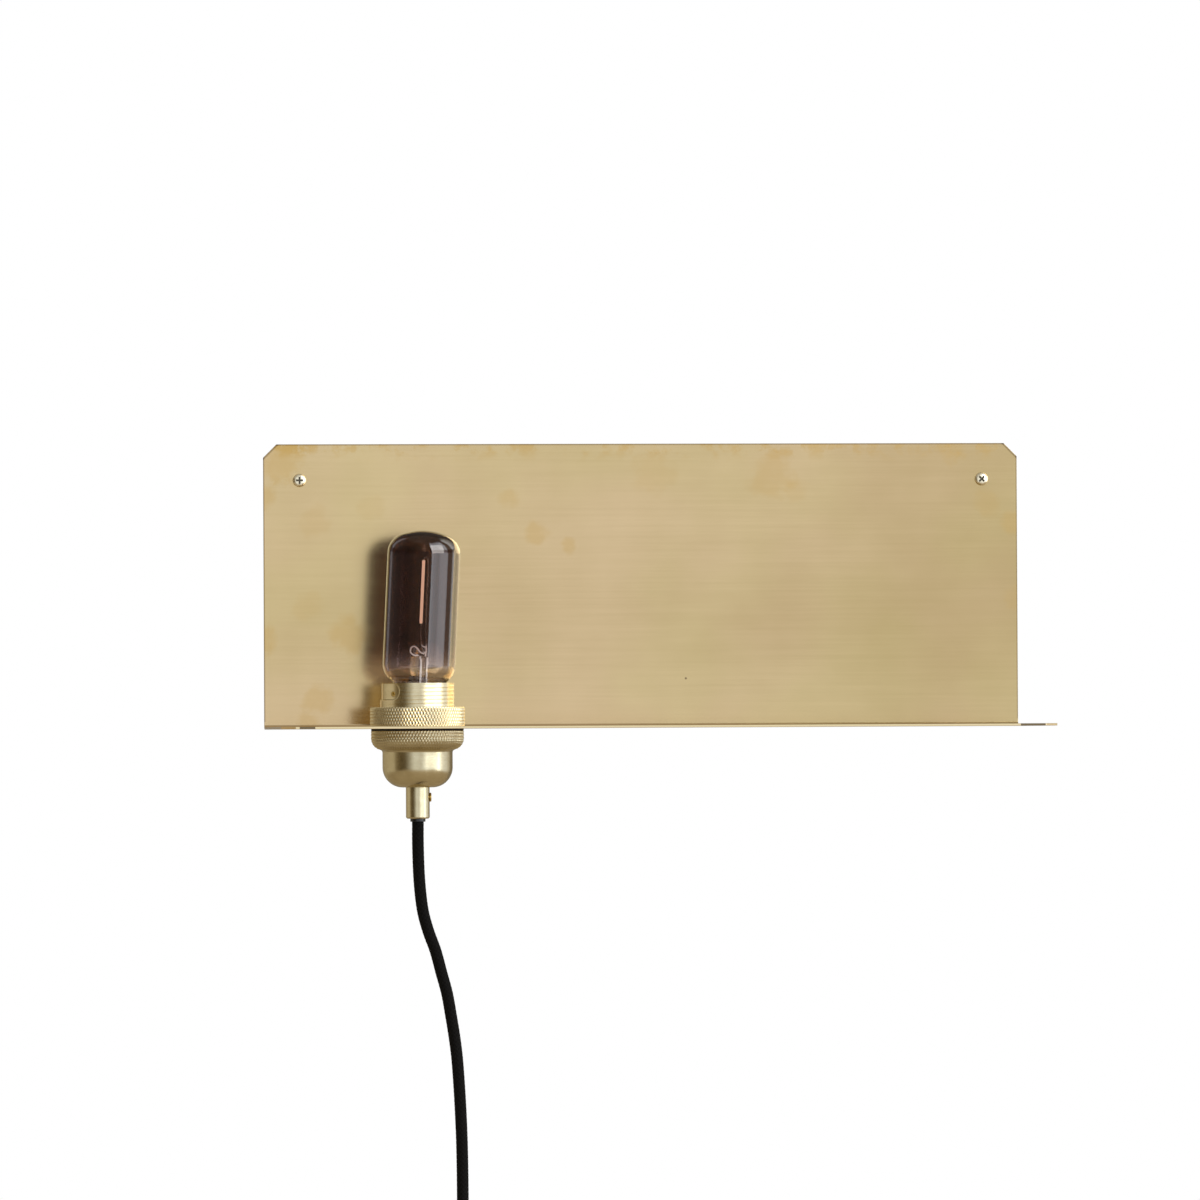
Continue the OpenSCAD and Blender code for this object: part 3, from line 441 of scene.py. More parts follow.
def screw_brass():
    """Pale screws, with painted shade deep in the crossed recess."""
    material, shader, start = new_material("screw_brass", Metallic=1.0)
    x, y, z = start.places().parts()
    grain = start.noise(1.2, 3)
    from_axis = ((x.math("ABSOLUTE") - SCREW_X / MM) ** 2 + z ** 2) ** 0.5
    # Painted shade: the faces deep in the crossed recess are darkened.
    recess_shade = y.smooth(-3.3, -2.7) * (from_axis < 2.35) * 0.9
    pale = grain.smooth(0.3, 0.7).blend(rgb(236, 226, 198), rgb(250, 244, 222))
    recess_shade.blend(pale, rgb(40, 32, 22)).feed(shader, "Base Color")
    (0.3 + (grain - 0.5) * 0.1).feed(shader, "Roughness")
    grain.bump(shader, 0.15, 0.00004)
    return material


def turned_brass(name, low, high, roughness):
    """Turned parts: fine lathe lines round the axis, faint handling marks, and painted shade deep in the
    grooves.
    """
    material, shader, start = new_material(name, Metallic=1.0)
    lines = start.noise(2.4, 2, scale=(60, 60, 1000))
    marks = start.noise(0.22, 4, 0.6)
    mix = ((marks - 0.5) * 0.9 + (lines - 0.5) * 0.3 + 0.5).smooth(0.2, 0.8)
    # Painted shade: where the mesh's pointiness is low, in the grooves, the colour darkens.
    groove = 1 - start.node("ShaderNodeNewGeometry", output="Pointiness").smooth(0.44, 0.5)
    (groove * 0.75).blend(mix.blend(low, high), rgb(96, 72, 40)).feed(shader, "Base Color")
    (roughness + (marks - 0.5) * 0.1 + (lines - 0.5) * 0.05).feed(shader, "Roughness")
    lines.bump(shader, 0.3, 0.00004)
    return material


def plain(name, colour, roughness, metallic=0.0, shade=0.12, size=0.5, relief=0.1, depth=0.00005,
          **constants):
    """A plain finish whose tone and gloss vary a little, with a fine surface."""
    material, shader, start = new_material(name, Metallic=metallic, **constants)
    grain = start.noise(size, 3)
    dark = tuple(c * (1 - shade) for c in colour[:3]) + (1,)
    light = tuple(min(1, c * (1 + shade)) for c in colour[:3]) + (1,)
    grain.smooth(0.3, 0.7).blend(dark, light).feed(shader, "Base Color")
    (roughness + (grain - 0.5) * 0.12).feed(shader, "Roughness")
    start.noise(size * 8, 2).bump(shader, relief, depth)
    return material


# The lead-in wires' painted highlight fades from bright to dark between these levels, in mm.
BRIGHT_BELOW, DARK_ABOVE = -88.5, -86.5


def lead_in_steel():
    """Bright lead-in wires. Round the stem an emission paints a highlight on them."""
    material, shader, start = new_material("lead_in_steel", Metallic=1.0, Emission_Strength=1.0)
    grain = start.noise(1.5, 2)
    grain.blend(rgb(186, 182, 174), rgb(206, 202, 194)).feed(shader, "Base Color")
    (0.2 + grain * 0.1).feed(shader, "Roughness")
    # Painted highlight: emission makes the wires bright below these levels.
    low = 1 - start.places().parts()[2].smooth(BRIGHT_BELOW, DARK_ABOVE)
    (low * grain * 2.4).blend((0, 0, 0, 1), (0.90, 0.90, 0.88, 1)).feed(shader, "Emission Color")
    return material


def two_tone(name, axis, colour, *changes):
    """Plastic that starts with a colour and changes at places in mm along an axis: (from here on, colour)."""
    material, shader, start = new_material(name)
    place = start.places().parts()[axis]
    grain = start.noise(1.0, 3)
    for edge, following in changes:
        colour = (place > edge).blend(colour, following)
    (grain * 0.25).blend(colour, (0, 0, 0, 1)).feed(shader, "Base Color")
    (0.4 + (grain - 0.5) * 0.12).feed(shader, "Roughness")
    grain.bump(shader, 0.1, 0.00005)
    return material


def cord_fabric():
    """Plaited black sleeve: two families of bundles that cross over and under."""
    material, shader, start = new_material(
        "cord_fabric", Specular_IOR_Level=0.1, Sheen_Weight=0.02, Sheen_Roughness=0.4)
    u, v, _ = start.node("ShaderNodeTexCoord", output="UV").parts()
    one = u * CARRIERS + v * CARRIERS
    two = u * CARRIERS - v * CARRIERS
    over = ((one.math("FLOOR") + two.math("FLOOR")) * 0.5).math("FRACT") > 0.25
    across = over * one.math("FRACT") + (1 - over) * two.math("FRACT")
    ridge = (across * math.pi).math("SINE")
    threads = (across * math.pi * 10).math("SINE")
    fuzz = start.noise(3.0, 3)
    tone = (ridge * 0.7 + fuzz * 0.5).smooth(0.2, 1.2)
    tone.blend(rgb(6, 5, 5), rgb(20, 19, 18)).feed(shader, "Base Color")
    (0.75 + (fuzz - 0.5) * 0.2).feed(shader, "Roughness")
    (ridge ** 0.5 + threads * 0.12 + fuzz * 0.3).bump(shader, 0.5, 0.00018)
    return material


def smoked_glass():
    """Smoked glass, tinted in the wall's depth: the thin foot is clearer and the rim darker."""
    material, shader, start = new_material(
        "smoked_glass", IOR=1.47, Transmission_Weight=1.0, Roughness=0.0, Coat_Weight=1.0, Coat_IOR=1.7,
        Coat_Roughness=0.0)
    streaks = start.noise(1.0, 2, scale=(120, 120, 25))
    streaks.smooth(0.3, 0.7).blend((0.92, 0.90, 0.88, 1), (1, 1, 1, 1)).feed(shader, "Base Color")
    tint = start.node("ShaderNodeVolumeAbsorption", {"Color": (0.25, 0.05, 0.0, 1), "Density": 1750})
    tint.feed(material.node_tree.nodes["Material Output"], "Volume")
    return material


def clear_glass():
    """The stem's glass, a little grey and wavy."""
    material, shader, start = new_material("clear_glass", IOR=1.5, Transmission_Weight=1.0, Coat_Weight=1.0)
    waves = start.noise(0.3, 2)
    waves.smooth(0.3, 0.7).blend((0.74, 0.74, 0.74, 1), (0.86, 0.86, 0.86, 1)).feed(shader, "Base Color")
    (waves * 0.02).feed(shader, "Roughness")
    return material


# ---------------------------------------------------------------- shaped pieces
# The lamp's axis, and the levels and radii that several pieces share, as in the part's source.
LAMP = Vector((-0.125, -0.075, 0))
SHELF_TOP, CAP_TOP = -0.1298, -0.132
SKIRT_R, SKIRT_TOP, SKIRT_END, SKIRT_BORE = 0.01925, -0.1073, -0.1365, 0.01725
BULB_R, BULB_RIM, BULB_SEAT = 0.01325, -0.111, -0.131
# The thread rolled in the bulb's cap and in the holder's shell.
BULB_PITCH, BULB_THREAD_DEPTH = 0.00363, 0.00095
# Radial play of pieces that screw on or in.
PLAY = 0.0001
# Where the colours change: the driver board's face, and the gaps between the cores in the switch, in mm.
BOARD_FACE = -75.62
CORE_GAPS = (-102.8, -101.2)


def arc(cx, cz, r, start, end, count):
    """Points on an arc round (cx, cz), between two angles in degrees."""
    return [(cx + r * math.cos(math.radians(a)), cz + r * math.sin(math.radians(a)))
            for a in np.linspace(start, end, count)]


def dense(profile, step):
    """The same outline with points no further apart than step."""
    out = [profile[0]]
    for (r0, z0), (r1, z1) in zip(profile, profile[1:]):
        n = max(1, math.ceil(math.hypot(r1 - r0, z1 - z0) / step))
        out += [(r0 + (r1 - r0) * i / n, z0 + (z1 - z0) * i / n) for i in range(1, n + 1)]
    return out


def lathe(name, profile, sides, material, at=LAMP, shape=None, closed=True, turn=None):
    """A solid of revolution. shape(angles, run, r, z) moves each ring's radius and level."""
    theta = np.linspace(0, 2 * math.pi, sides, endpoint=False)
    run, points, rows = 0.0, [], []
    previous = profile[0]
    for r, z in profile:
        run += math.hypot(r - previous[0], z - previous[1])
        previous = (r, z)
        if r < 1e-7:
            rows.append([len(points)])
            points.append((0, 0, z))
            continue
        rs, zs = np.full(sides, r), np.full(sides, z)
        if shape:
            rs, zs = shape(theta, run, rs, zs)
        rows.append(list(range(len(points), len(points) + sides)))
        points += list(zip(rs * np.cos(theta), rs * np.sin(theta), zs))
    faces = []
    pairs = list(zip(rows, rows[1:])) + ([(rows[-1], rows[0])] if closed else [])
    for a, b in pairs:
        for k in range(sides):
            j = (k + 1) % sides
            if len(a) == 1 and len(b) == 1:
                continue
            if len(a) == 1:
                faces.append((a[0], b[j], b[k]))
            elif len(b) == 1:
                faces.append((a[k], a[j], b[0]))
            else:
                faces.append((a[k], a[j], b[j], b[k]))
    piece = make_piece(name, points, faces, material)
    move = Matrix.Translation(at) @ (turn or Matrix.Identity(4))
    piece.data.transform(move)
    tidy(piece)
    return piece


def tidy(piece, angle=40):
    """Normals outwards, and edges sharper than the angle stay sharp."""
    bm = bmesh.new()
    bm.from_mesh(piece.data)
    bmesh.ops.remove_doubles(bm, verts=bm.verts, dist=1e-7)
    bmesh.ops.recalc_face_normals(bm, faces=bm.faces)
    for face in bm.faces:
        face.smooth = True
    for edge in bm.edges:
        edge.smooth = len(edge.link_faces) == 2 and edge.calc_face_angle(0) < math.radians(angle)
    bm.to_mesh(piece.data)
    bm.free()


def apply_modifiers(piece):
    """Replace the piece's mesh by the one its modifiers make."""
    graph = bpy.context.evaluated_depsgraph_get()
    mesh = bpy.data.meshes.new_from_object(piece.evaluated_get(graph))
    piece.modifiers.clear()
    piece.data = mesh


def bevel(piece, width):
    """Round the piece's edges by width."""
    mod = piece.modifiers.new("edges", "BEVEL")
    mod.width, mod.segments, mod.limit_method = width, 2, "ANGLE"
    mod.angle_limit = math.radians(30)
    mod.use_clamp_overlap = True
    apply_modifiers(piece)
    tidy(piece, 50)
    flat = piece.modifiers.new("flat", "WEIGHTED_NORMAL")
    flat.mode, flat.weight, flat.keep_sharp = "FACE_AREA", 100, True
    apply_modifiers(piece)


def cut(piece, other):
    """Cut the other solid out of the piece and remove it."""
    mod = piece.modifiers.new("cut", "BOOLEAN")
    mod.operation, mod.solver, mod.object = "DIFFERENCE", "EXACT", other
    bpy.context.view_layer.update()
    apply_modifiers(piece)
    bpy.data.objects.remove(other)


def block(low, high, turn):
    """A turned box between two corners, to cut with."""
    points = [(x, y, z) for x in (low[0], high[0]) for y in (low[1], high[1]) for z in (low[2], high[2])]
    faces = [(0, 1, 3, 2), (4, 6, 7, 5), (0, 4, 5, 1), (2, 3, 7, 6), (0, 2, 6, 4), (1, 5, 7, 3)]
    piece = make_piece("cutter", points, faces, smooth=False)
    piece.data.transform(turn)
    return piece


def drill(r, low, high, sides, material, at=Vector((0, 0, 0))):
    """A round rod along Z, to cut a hole with."""
    return lathe("cutter", [(0, low), (r, low), (r, high), (0, high)], sides, material, at=at, closed=False)


def dress(piece, node, body=ROOT):
    """The piece rides on a body and stands for a CAD node."""
    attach(piece, body)
    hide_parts(node)
    return piece


# The knurl's pitch, depth, lean in degrees, and the step along its outline.
KNURL_PITCH, KNURL_DEPTH, KNURL_LEAN = 1.65 * MM, 0.42 * MM, 26
KNURL_STEP = 0.2 * KNURL_PITCH


def knurl_count(radius):
    """Diamonds round a piece of this radius."""
    return round(2 * math.pi * radius / KNURL_PITCH)


def knurl(theta, run, radius):
    """Depth of the crossed grooves at these angles and this run along the outline: 0 on a diamond's top."""
    turns = theta * knurl_count(radius) / (2 * math.pi)
    lean = math.tan(math.radians(KNURL_LEAN)) / KNURL_PITCH
    a, b = (turns + run * lean) % 1, (turns - run * lean) % 1
    high = np.minimum(1 - abs(2 * a - 1), 1 - abs(2 * b - 1))
    return KNURL_DEPTH * (1 - np.minimum(high * 1.2, 1))


def clamp_ring(material):
    """The knurled ring that clamps the holder from above."""
    r, bore, h, edge = 0.0246, SKIRT_R + PLAY, 0.010, 0.0004
    outer = dense([(r, edge), (r, h - edge)], KNURL_STEP)
    profile = [(bore, 0), (r - edge, 0)] + outer + [(r - edge, h), (bore, h)]

    def shape(theta, run, rs, zs):
        if rs[0] > r - 1e-6:
            rs = rs - knurl(theta, zs[0], r)
        return rs, zs + SHELF_TOP

    ring = lathe("clamp_ring", profile, knurl_count(r) * 8, material, shape=shape)
    return dress(ring, "upper_clamp_ring")


def holder_cap(material):
    """The cap under the shelf: a knurled collar that rounds into a smooth cup."""
    collar_r, collar_h, collar_round = 0.0241, 0.004, 0.006
    cup_r, cup_round, wall, h = 0.0182, 0.0105, 0.0023, 0.0294
    fillet, edge, shoulder = 0.0015, 0.0004, 0.0075
    cx, cz = collar_r - collar_round, -collar_h
    fx = cup_r + fillet
    drop = math.sqrt((collar_round + fillet) ** 2 - (fx - cx) ** 2)
    meet = math.degrees(math.atan2(-drop, fx - cx))
    rough = dense([(collar_r, -edge), (collar_r, -collar_h)], KNURL_STEP)[:-1]
    rough += arc(cx, cz, collar_round, 0, meet, 22)
    smooth = arc(fx, cz - drop, fillet, meet + 180, 180, 8)[1:]
    smooth += dense([(cup_r, cz - drop), (cup_r, -h + cup_round)], 0.002)[1:-1]
    smooth += arc(cup_r - cup_round, -h + cup_round, cup_round, 0, -90, 24)
    inner_round = cup_round - wall
    hole, bore, cavity = 0.00505, SKIRT_R + PLAY, cup_r - wall
    inside = [(hole, -h), (hole, -h + wall)]
    inside += arc(cavity - inner_round, -h + wall + inner_round, inner_round, -90, 0, 10)
    inside += [(cavity, -shoulder), (bore, -shoulder)]
    profile = [(bore, 0), (collar_r - edge, 0)] + rough + smooth + inside
    first, last = 2, 2 + len(rough)
    order = iter(range(len(profile)))

    def shape(theta, run, rs, zs):
        i = next(order)
        if first <= i < last:
            out = math.atan2(zs[0] - cz, rs[0] - cx) if zs[0] < cz else 0
            fade = min(1, (last - 1 - i) / 2)
            d = knurl(theta, run, collar_r) * fade
            rs, zs = rs - d * math.cos(out), zs - d * math.sin(out)
        return rs, zs + CAP_TOP

    cap = lathe("turned_cap", profile, knurl_count(collar_r) * 8, material, shape=shape)
    return dress(cap, "holder_cap")


def skirt(material):
    """The tube with its right-handed outer thread, and the smooth pad milled in its left side."""
    pitch, depth = 0.002, 0.0001
    outer = dense([(SKIRT_R, SKIRT_END + 0.0003), (SKIRT_R, SKIRT_TOP - 0.0003)], 0.00017)
    profile = [(SKIRT_BORE, SKIRT_END), (SKIRT_R - depth, SKIRT_END)] + outer
    profile += [(SKIRT_R - depth * 0.6, SKIRT_TOP)]
    profile += [(SKIRT_BORE + 0.0002, SKIRT_TOP), (SKIRT_BORE, SKIRT_TOP - 0.0002)]
    pad_z, pad_r, pad_depth = -0.1116, 0.0046, 0.0008
    front, rear = math.radians(223), math.radians(150)
    hole_z, hole_r = -0.113, 0.0014

    def shape(theta, run, rs, zs):
        if rs[0] < SKIRT_R - 1e-6:
            return rs, zs
        phase = (zs / pitch - theta / (2 * math.pi)) % 1
        r = SKIRT_R - depth * (0.5 + 0.5 * np.cos(2 * math.pi * phase))
        near_end = np.clip((zs - SKIRT_END) / 0.001, 0, 1) * np.clip((SKIRT_TOP - zs) / 0.0008, 0, 1)
        r = SKIRT_R - depth + (r - SKIRT_R + depth) * near_end
        around = np.where(theta > front, theta - front, np.where(theta < rear, rear - theta, 0)) * SKIRT_R
        far = np.hypot(around, zs - pad_z)
        inside = np.clip((pad_r - far) / 0.00035, 0, 1)
        return r * (1 - inside) + (SKIRT_R - pad_depth) * inside, zs

    piece = lathe("threaded_skirt", profile, 360, material, shape=shape)
    hole = drill(hole_r, -0.002, 0.004, 32, material)
    out = Vector((math.cos(front), math.sin(front), 0))
    turn = out.to_track_quat("Z", "Y").to_matrix().to_4x4()
    hole.data.transform(Matrix.Translation(LAMP + out * SKIRT_BORE + Vector((0, 0, hole_z))) @ turn)
    cut(piece, hole)
    tidy(piece, 60)
    return dress(piece, "holder_skirt")


def rolled(theta, z):
    """Inward depth of the bulb's rolled thread at these angles and levels."""
    phase = z / BULB_PITCH - theta / (2 * math.pi)
    return BULB_THREAD_DEPTH * (0.5 - 0.5 * np.cos(2 * math.pi * phase))


def fading(z, low, low_run, high, high_run):
    """1 between two levels, falling to 0 beyond them over these runs."""
    return np.clip((high - z) / high_run, 0, 1) * np.clip((z - low) / low_run, 0, 1)


def bulb_cap(material):
    """The bulb's thin screw cap."""
    wall, foot = 0.0004, BULB_SEAT + 0.0014
    levels = np.linspace(BULB_RIM, foot, 66)
    outside = [(BULB_R, z) for z in levels]
    low = [(BULB_R - 0.0006, BULB_SEAT + 0.0007), (BULB_R - 0.0014, BULB_SEAT)]
    low += [(BULB_R - 0.0019, BULB_SEAT)]
    inside = [(BULB_R - wall, z) for z in levels[::-1]]

    def shape(theta, run, rs, zs):
        if rs[0] > BULB_R - wall - 1e-6 and zs[0] >= foot - 1e-6:
            fade = fading(zs, BULB_SEAT + 0.001, 0.001, BULB_RIM - 0.0022, 0.002)
            rs = rs - rolled(theta, zs) * fade
        return rs, zs

    piece = lathe("bulb_screw_cap", outside + low + inside, 128, material, shape=shape)
    return dress(piece, "bulb_cap", "bulb")


def screw_shell(material):
    """The holder's shell, rolled to the same thread, with its floor and screw holes."""
    core_top, wall, r, floor_hole = -0.1346, 0.0005, BULB_R + PLAY, 0.0096
    top, foot = BULB_RIM - 0.0025, core_top + 0.0022
    screws_at, screw_hole = 0.0116, 0.00125
    levels = np.linspace(top, foot, 66)
    inner = [(r, z) for z in levels]
    inner += [(r, core_top + wall), (floor_hole, core_top + wall), (floor_hole, core_top)]
    outer = [(r + wall, core_top)] + [(r + wall, z) for z in levels[::-1]]

    def shape(theta, run, rs, zs):
        if rs[0] > r - 1e-6 and zs[0] > foot - 0.0001:
            rs = rs - rolled(theta, zs) * fading(zs, foot, 0.001, top - 0.0006, 0.0015)
        return rs, zs

    piece = lathe("rolled_shell", inner + outer, 128, material, shape=shape)
    for a in (0, 120, 240):
        out = Vector((math.cos(math.radians(a)), math.sin(math.radians(a)), 0)) * screws_at
        cut(piece, drill(screw_hole, -0.001, 0.0015, 24, material, LAMP + out + Vector((0, 0, core_top))))
    tidy(piece, 50)
    return dress(piece, "screw_shell")


# The bulb leans a little to the right. Its glass stands on its cap, and its parts are placed from there.
LEAN = Matrix.Rotation(math.radians(2.8), 4, "Y")
GLASS_AT = LAMP + Vector((0.0004, 0, BULB_RIM))
# The two lead-in wires in mm, from the foot up: the short one loops, the long one climbs past the filament.
WIRE_R = 0.00038
SHORT_WIRE = (
    (0.6, -1.2, -4), (0.6, -1.2, 10), (0.5, -1.4, 16), (-0.8, -2.4, 18.2), (-3.2, -3.2, 18.4),
    (-5.0, -3.4, 19.8), (-4.8, -3.4, 22.0), (-3.1, -3.0, 22.9), (-1.4, -2.4, 21.8), (0.2, -2.0, 20.0),
    (2.0, -1.8, 19.6), (3.2, -1.4, 20.8), (2.8, -1.0, 22.6), (1.2, -0.6, 23.4), (0.3, -0.3, 26),
    (0.1, 0.1, 30), (0.05, 0, 34), (0, 0, 35),
)
LONG_WIRE = (
    (3.1, -0.6, -4), (3.1, -0.6, 10), (3.1, -0.6, 18), (3.4, 0.4, 22), (3.0, 1.0, 26), (2.8, 1.0, 30),
    (2.6, 0.6, 35), (2.6, 0.2, 50), (2.6, 0, 61.5), (2.3, 0, 67), (1.4, 0, 69.2), (0.5, 0, 69),
    (0.05, 0, 67.8), (0, 0, 67),
)


def glass_line():
    """The bulb's outside: foot, bowl, straight side, shoulder and crown."""
    r, shoulder, bowl, bowl_z, neck, low = 0.01895, 0.0105, 0.0108, 0.0135, 0.0132, 0.0124
    turn, top = 68, 0.083
    crown = shoulder + (r - shoulder) / math.cos(math.radians(turn))
    shoulder_z = top - crown + (r - shoulder) * math.tan(math.radians(turn))
    foot = -math.degrees(math.acos((neck - r + bowl) / bowl))
    line = dense([(low, -0.0045), (low, 0.0007), (neck, 0.0011)], 0.001)
    line += arc(r - bowl, bowl_z, bowl, foot, 0, 24)
    line += dense([(r, bowl_z), (r, shoulder_z)], 0.002)[1:-1]
    line += arc(r - shoulder, shoulder_z, shoulder, 0, turn, 24)
    line += arc(0, top - crown, crown, turn, 90, 24)[1:]
    return line[:-1] + [(0, line[-1][1])]


def glass_inside(line):
    """The same line taken in by the wall, which grows from thin at the foot to 0.9 mm."""
    points = np.array(line)
    along = tangents(points)
    share = np.clip((points[:, 1] - 0.009) / 0.018, 0, 1)
    wall = 0.00025 + 0.00065 * share ** 2 * (3 - 2 * share)
    inside = points + np.column_stack([-along[:, 1], along[:, 0]]) * wall[:, None]
    inside[0, 1], inside[-1, 0] = points[0, 1], 0
    return [tuple(p) for p in inside]


def bulb_parts(smoked, clear, phosphor, steel):
    """The bulb's glass, the stem with its flare, the filament and its two wires."""
    outside = glass_line()
    glass = lathe("tube_glass", outside + glass_inside(outside)[::-1], 128, smoked, at=GLASS_AT, turn=LEAN)
    dress(glass, "bulb_glass", "bulb")
    stem = [(0, -0.0053), (0.0124, -0.0053), (0.0124, -0.0046), (0.0110, -0.0044)]
    stem += [(0.0090, -0.0028), (0.0074, -0.0004), (0.0060, 0.0030), (0.0050, 0.0068), (0.00475, 0.0100)]
    stem += dense([(0.00475, 0.0100), (0.00470, 0.0170)], 0.003)[1:]
    stem += arc(0.0037, 0.0170, 0.0010, 10, 80, 6) + [(0.0030, 0.0181), (0.0025, 0.0190), (0.0024, 0.0212)]
    stem += [(0.0019, 0.0218), (0, 0.0221)]
    foot = lathe("glass_stem", stem, 64, clear, at=GLASS_AT, turn=LEAN, closed=False)
    dress(foot, "bulb_stem", "bulb")
    z0, length, r, end, lump = 0.0346, 0.033, 0.0008, 0.0005, 0.0011
    rod = [(0, z0), (r * 0.6, z0), (r, z0 + end)]
    rod += dense([(r, z0 + end), (r, z0 + length - end)], 0.0006)[1:]
    rod += [(r * 0.6, z0 + length), (0, z0 + length)]

    def lumps(theta, run, rs, zs):
        return rs * (1 - 0.05 * (0.5 - 0.5 * np.cos(zs / lump * 2 * math.pi))), zs

    stick = lathe("filament", rod, 24, phosphor, at=GLASS_AT, turn=LEAN, closed=False, shape=lumps)
    dress(stick, "filament_stick", "bulb")
    for name, line in (("lead_in_short", SHORT_WIRE), ("lead_in_long", LONG_WIRE)):
        wire = wire_tube(name, np.array(line) * MM, WIRE_R, steel, 0.0006, 12)
        wire.data.transform(Matrix.Translation(GLASS_AT) @ LEAN)
        dress(wire, "filament_wires", "bulb")


def wire_tube(name, line, radius, material, step, sides):
    """A plain round wire along the line."""
    path, _ = even_path(line, step)
    points = []
    for at, (side, other) in zip(path, frames_along(path)):
        for k in range(sides):
            a = 2 * math.pi * k / sides
            points.append(at + radius * (math.cos(a) * side + math.sin(a) * other))
    piece = make_piece(name, points, tube_faces(len(path), sides), material)
    tidy(piece)
    return piece


def wall_screw(name, x, turn, material):
    """Pan head with a crossed recess, and a wood-screw thread behind the plate."""
    head_r, head_h, r, length, tip_l, pitch = 0.0035, 0.0022, 0.00175, 0.035, 0.003, 0.0016
    arm, half_slot, slot_depth = 0.0019, 0.0005, 0.0016
    head = [(0, -head_h)] + [
        (head_r * math.sin(math.radians(a)) ** 0.55, -head_h * (0.35 + 0.65 * math.cos(math.radians(a))))
        for a in np.linspace(2, 90, 22)]
    head += [(head_r, -0.0001), (head_r - 0.0001, 0), (r, 0)]
    shank = [(r, z) for z in np.linspace(0.0008, length - tip_l, 90)]
    tip = [(r * (1 - t), length - tip_l + tip_l * t) for t in np.linspace(0.08, 0.92, 12)]
    tip += [(0, length)]

    def shape(theta, run, rs, zs):
        if zs[0] > 0.0007 and rs[0] > 1e-6:
            ridge = 1 - abs(2 * ((zs / pitch - theta / (2 * math.pi)) % 1) - 1)
            rs = rs * (1 - 0.28 * (1 - np.clip(ridge * 2 - 0.6, 0, 1)))
        return rs, zs

    piece = lathe(name, head + shank + tip, 48, material, at=Vector((0, 0, 0)), shape=shape, closed=False)
    for k in (0, 90):
        slot = block((-arm, -half_slot, -2 * head_h), (arm, half_slot, -head_h + slot_depth),
                     Matrix.Rotation(math.radians(turn + k), 4, "Z"))
        cut(piece, slot)
    # The screw's own axis points into the wall.
    into_wall = Matrix.Rotation(math.radians(-90), 4, "X")
    piece.data.transform(Matrix.Translation(Vector((x, FACE * MM, 0))) @ into_wall)
    tidy(piece, 35)
    return dress(piece, "wall_screws")


def from_node(node, name, material, width, body=ROOT):
    """The node's own shape with its edges rounded by width."""
    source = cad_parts[node].data
    mesh = bpy.data.meshes.new(name)
    mesh.from_pydata([v.co[:] for v in source.vertices], [], [tuple(p.vertices) for p in source.polygons])
    mesh.materials.append(material)
    bm = bmesh.new()
    bm.from_mesh(mesh)
    bmesh.ops.remove_doubles(bm, verts=bm.verts, dist=2e-6)
    bmesh.ops.dissolve_limit(bm, angle_limit=math.radians(0.6), verts=bm.verts, edges=bm.edges)
    bm.to_mesh(mesh)
    bm.free()
    piece = bpy.data.objects.new(name, mesh)
    bpy.context.collection.objects.link(piece)
    bevel(piece, width)
    return dress(piece, node, body)


# ---------------------------------------------------------------- room
# What the metal sees at each angle round the lamp: 0 is in front of it, 90 to its right.
ROOM = (
    (-180, (0.30, 0.26, 0.20)), (-140, (0.44, 0.37, 0.25)), (-112, (0.58, 0.51, 0.38)),
    (-90, (0.60, 0.53, 0.40)), (-78, (0.20, 0.15, 0.08)), (-62, (0.11, 0.08, 0.04)),
    (-44, (0.11, 0.08, 0.04)), (-30, (0.44, 0.42, 0.37)), (-14, (0.98, 1.01, 1.04)),
    (0, (0.88, 0.90, 0.92)), (5, (0.77, 0.77, 0.77)), (12, (0.84, 0.86, 0.90)),
    (21, (1.20, 1.26, 1.36)), (24, (1.60, 1.70, 1.85)), (34, (1.36, 1.44, 1.58)),
    (43, (1.34, 1.42, 1.54)), (54, (1.50, 1.60, 1.75)), (64, (1.80, 1.90, 2.05)),
    (68, (3.30, 3.40, 3.60)), (74, (3.30, 3.40, 3.60)), (78, (1.20, 1.24, 1.32)),
    (104, (0.96, 0.98, 1.03)), (118, (0.66, 0.62, 0.54)), (135, (0.22, 0.18, 0.12)),
    (180, (0.30, 0.26, 0.20)),
)
# The same for the polished glass, which mirrors a sharp bright wall between dark ones.
GLASS_ROOM = (
    (-180, (0.06, 0.05, 0.04)), (-142, (0.08, 0.06, 0.05)), (-130, (0.40, 0.40, 0.42)),
    (-118, (0.12, 0.10, 0.09)), (-70, (0.05, 0.04, 0.03)), (-20, (0.08, 0.06, 0.04)),
    (19, (0.10, 0.08, 0.06)), (23, (1.70, 1.78, 1.90)), (28, (1.30, 1.36, 1.44)),
    (34, (1.18, 1.22, 1.28)), (43, (1.06, 1.10, 1.16)), (54, (1.44, 1.50, 1.58)),
    (68, (1.40, 1.46, 1.54)), (76, (1.34, 1.38, 1.44)), (80, (0.26, 0.22, 0.18)),
    (95, (0.24, 0.21, 0.17)), (102, (1.40, 1.38, 1.32)), (125, (0.50, 0.46, 0.38)),
    (140, (0.10, 0.08, 0.06)), (180, (0.06, 0.05, 0.04)),
)
# And its share at each height: from straight down at -1 to straight up at 1.
GLASS_HEIGHTS = (
    (-1, 0.5), (-0.5, 0.7), (-0.2, 1.0), (0.06, 1.0), (0.10, 0.35), (0.26, 0.35), (0.32, 1.25),
    (0.78, 1.25), (0.86, 0.3), (1, 0.3),
)
# What metal and glass see overhead, and the floor's colour in reflections.
METAL_CEILING, GLASS_CEILING = (0.44, 0.41, 0.36, 1), (0.15, 0.13, 0.10, 1)
FLOOR_SEEN = (0.62, 0.51, 0.35, 1)


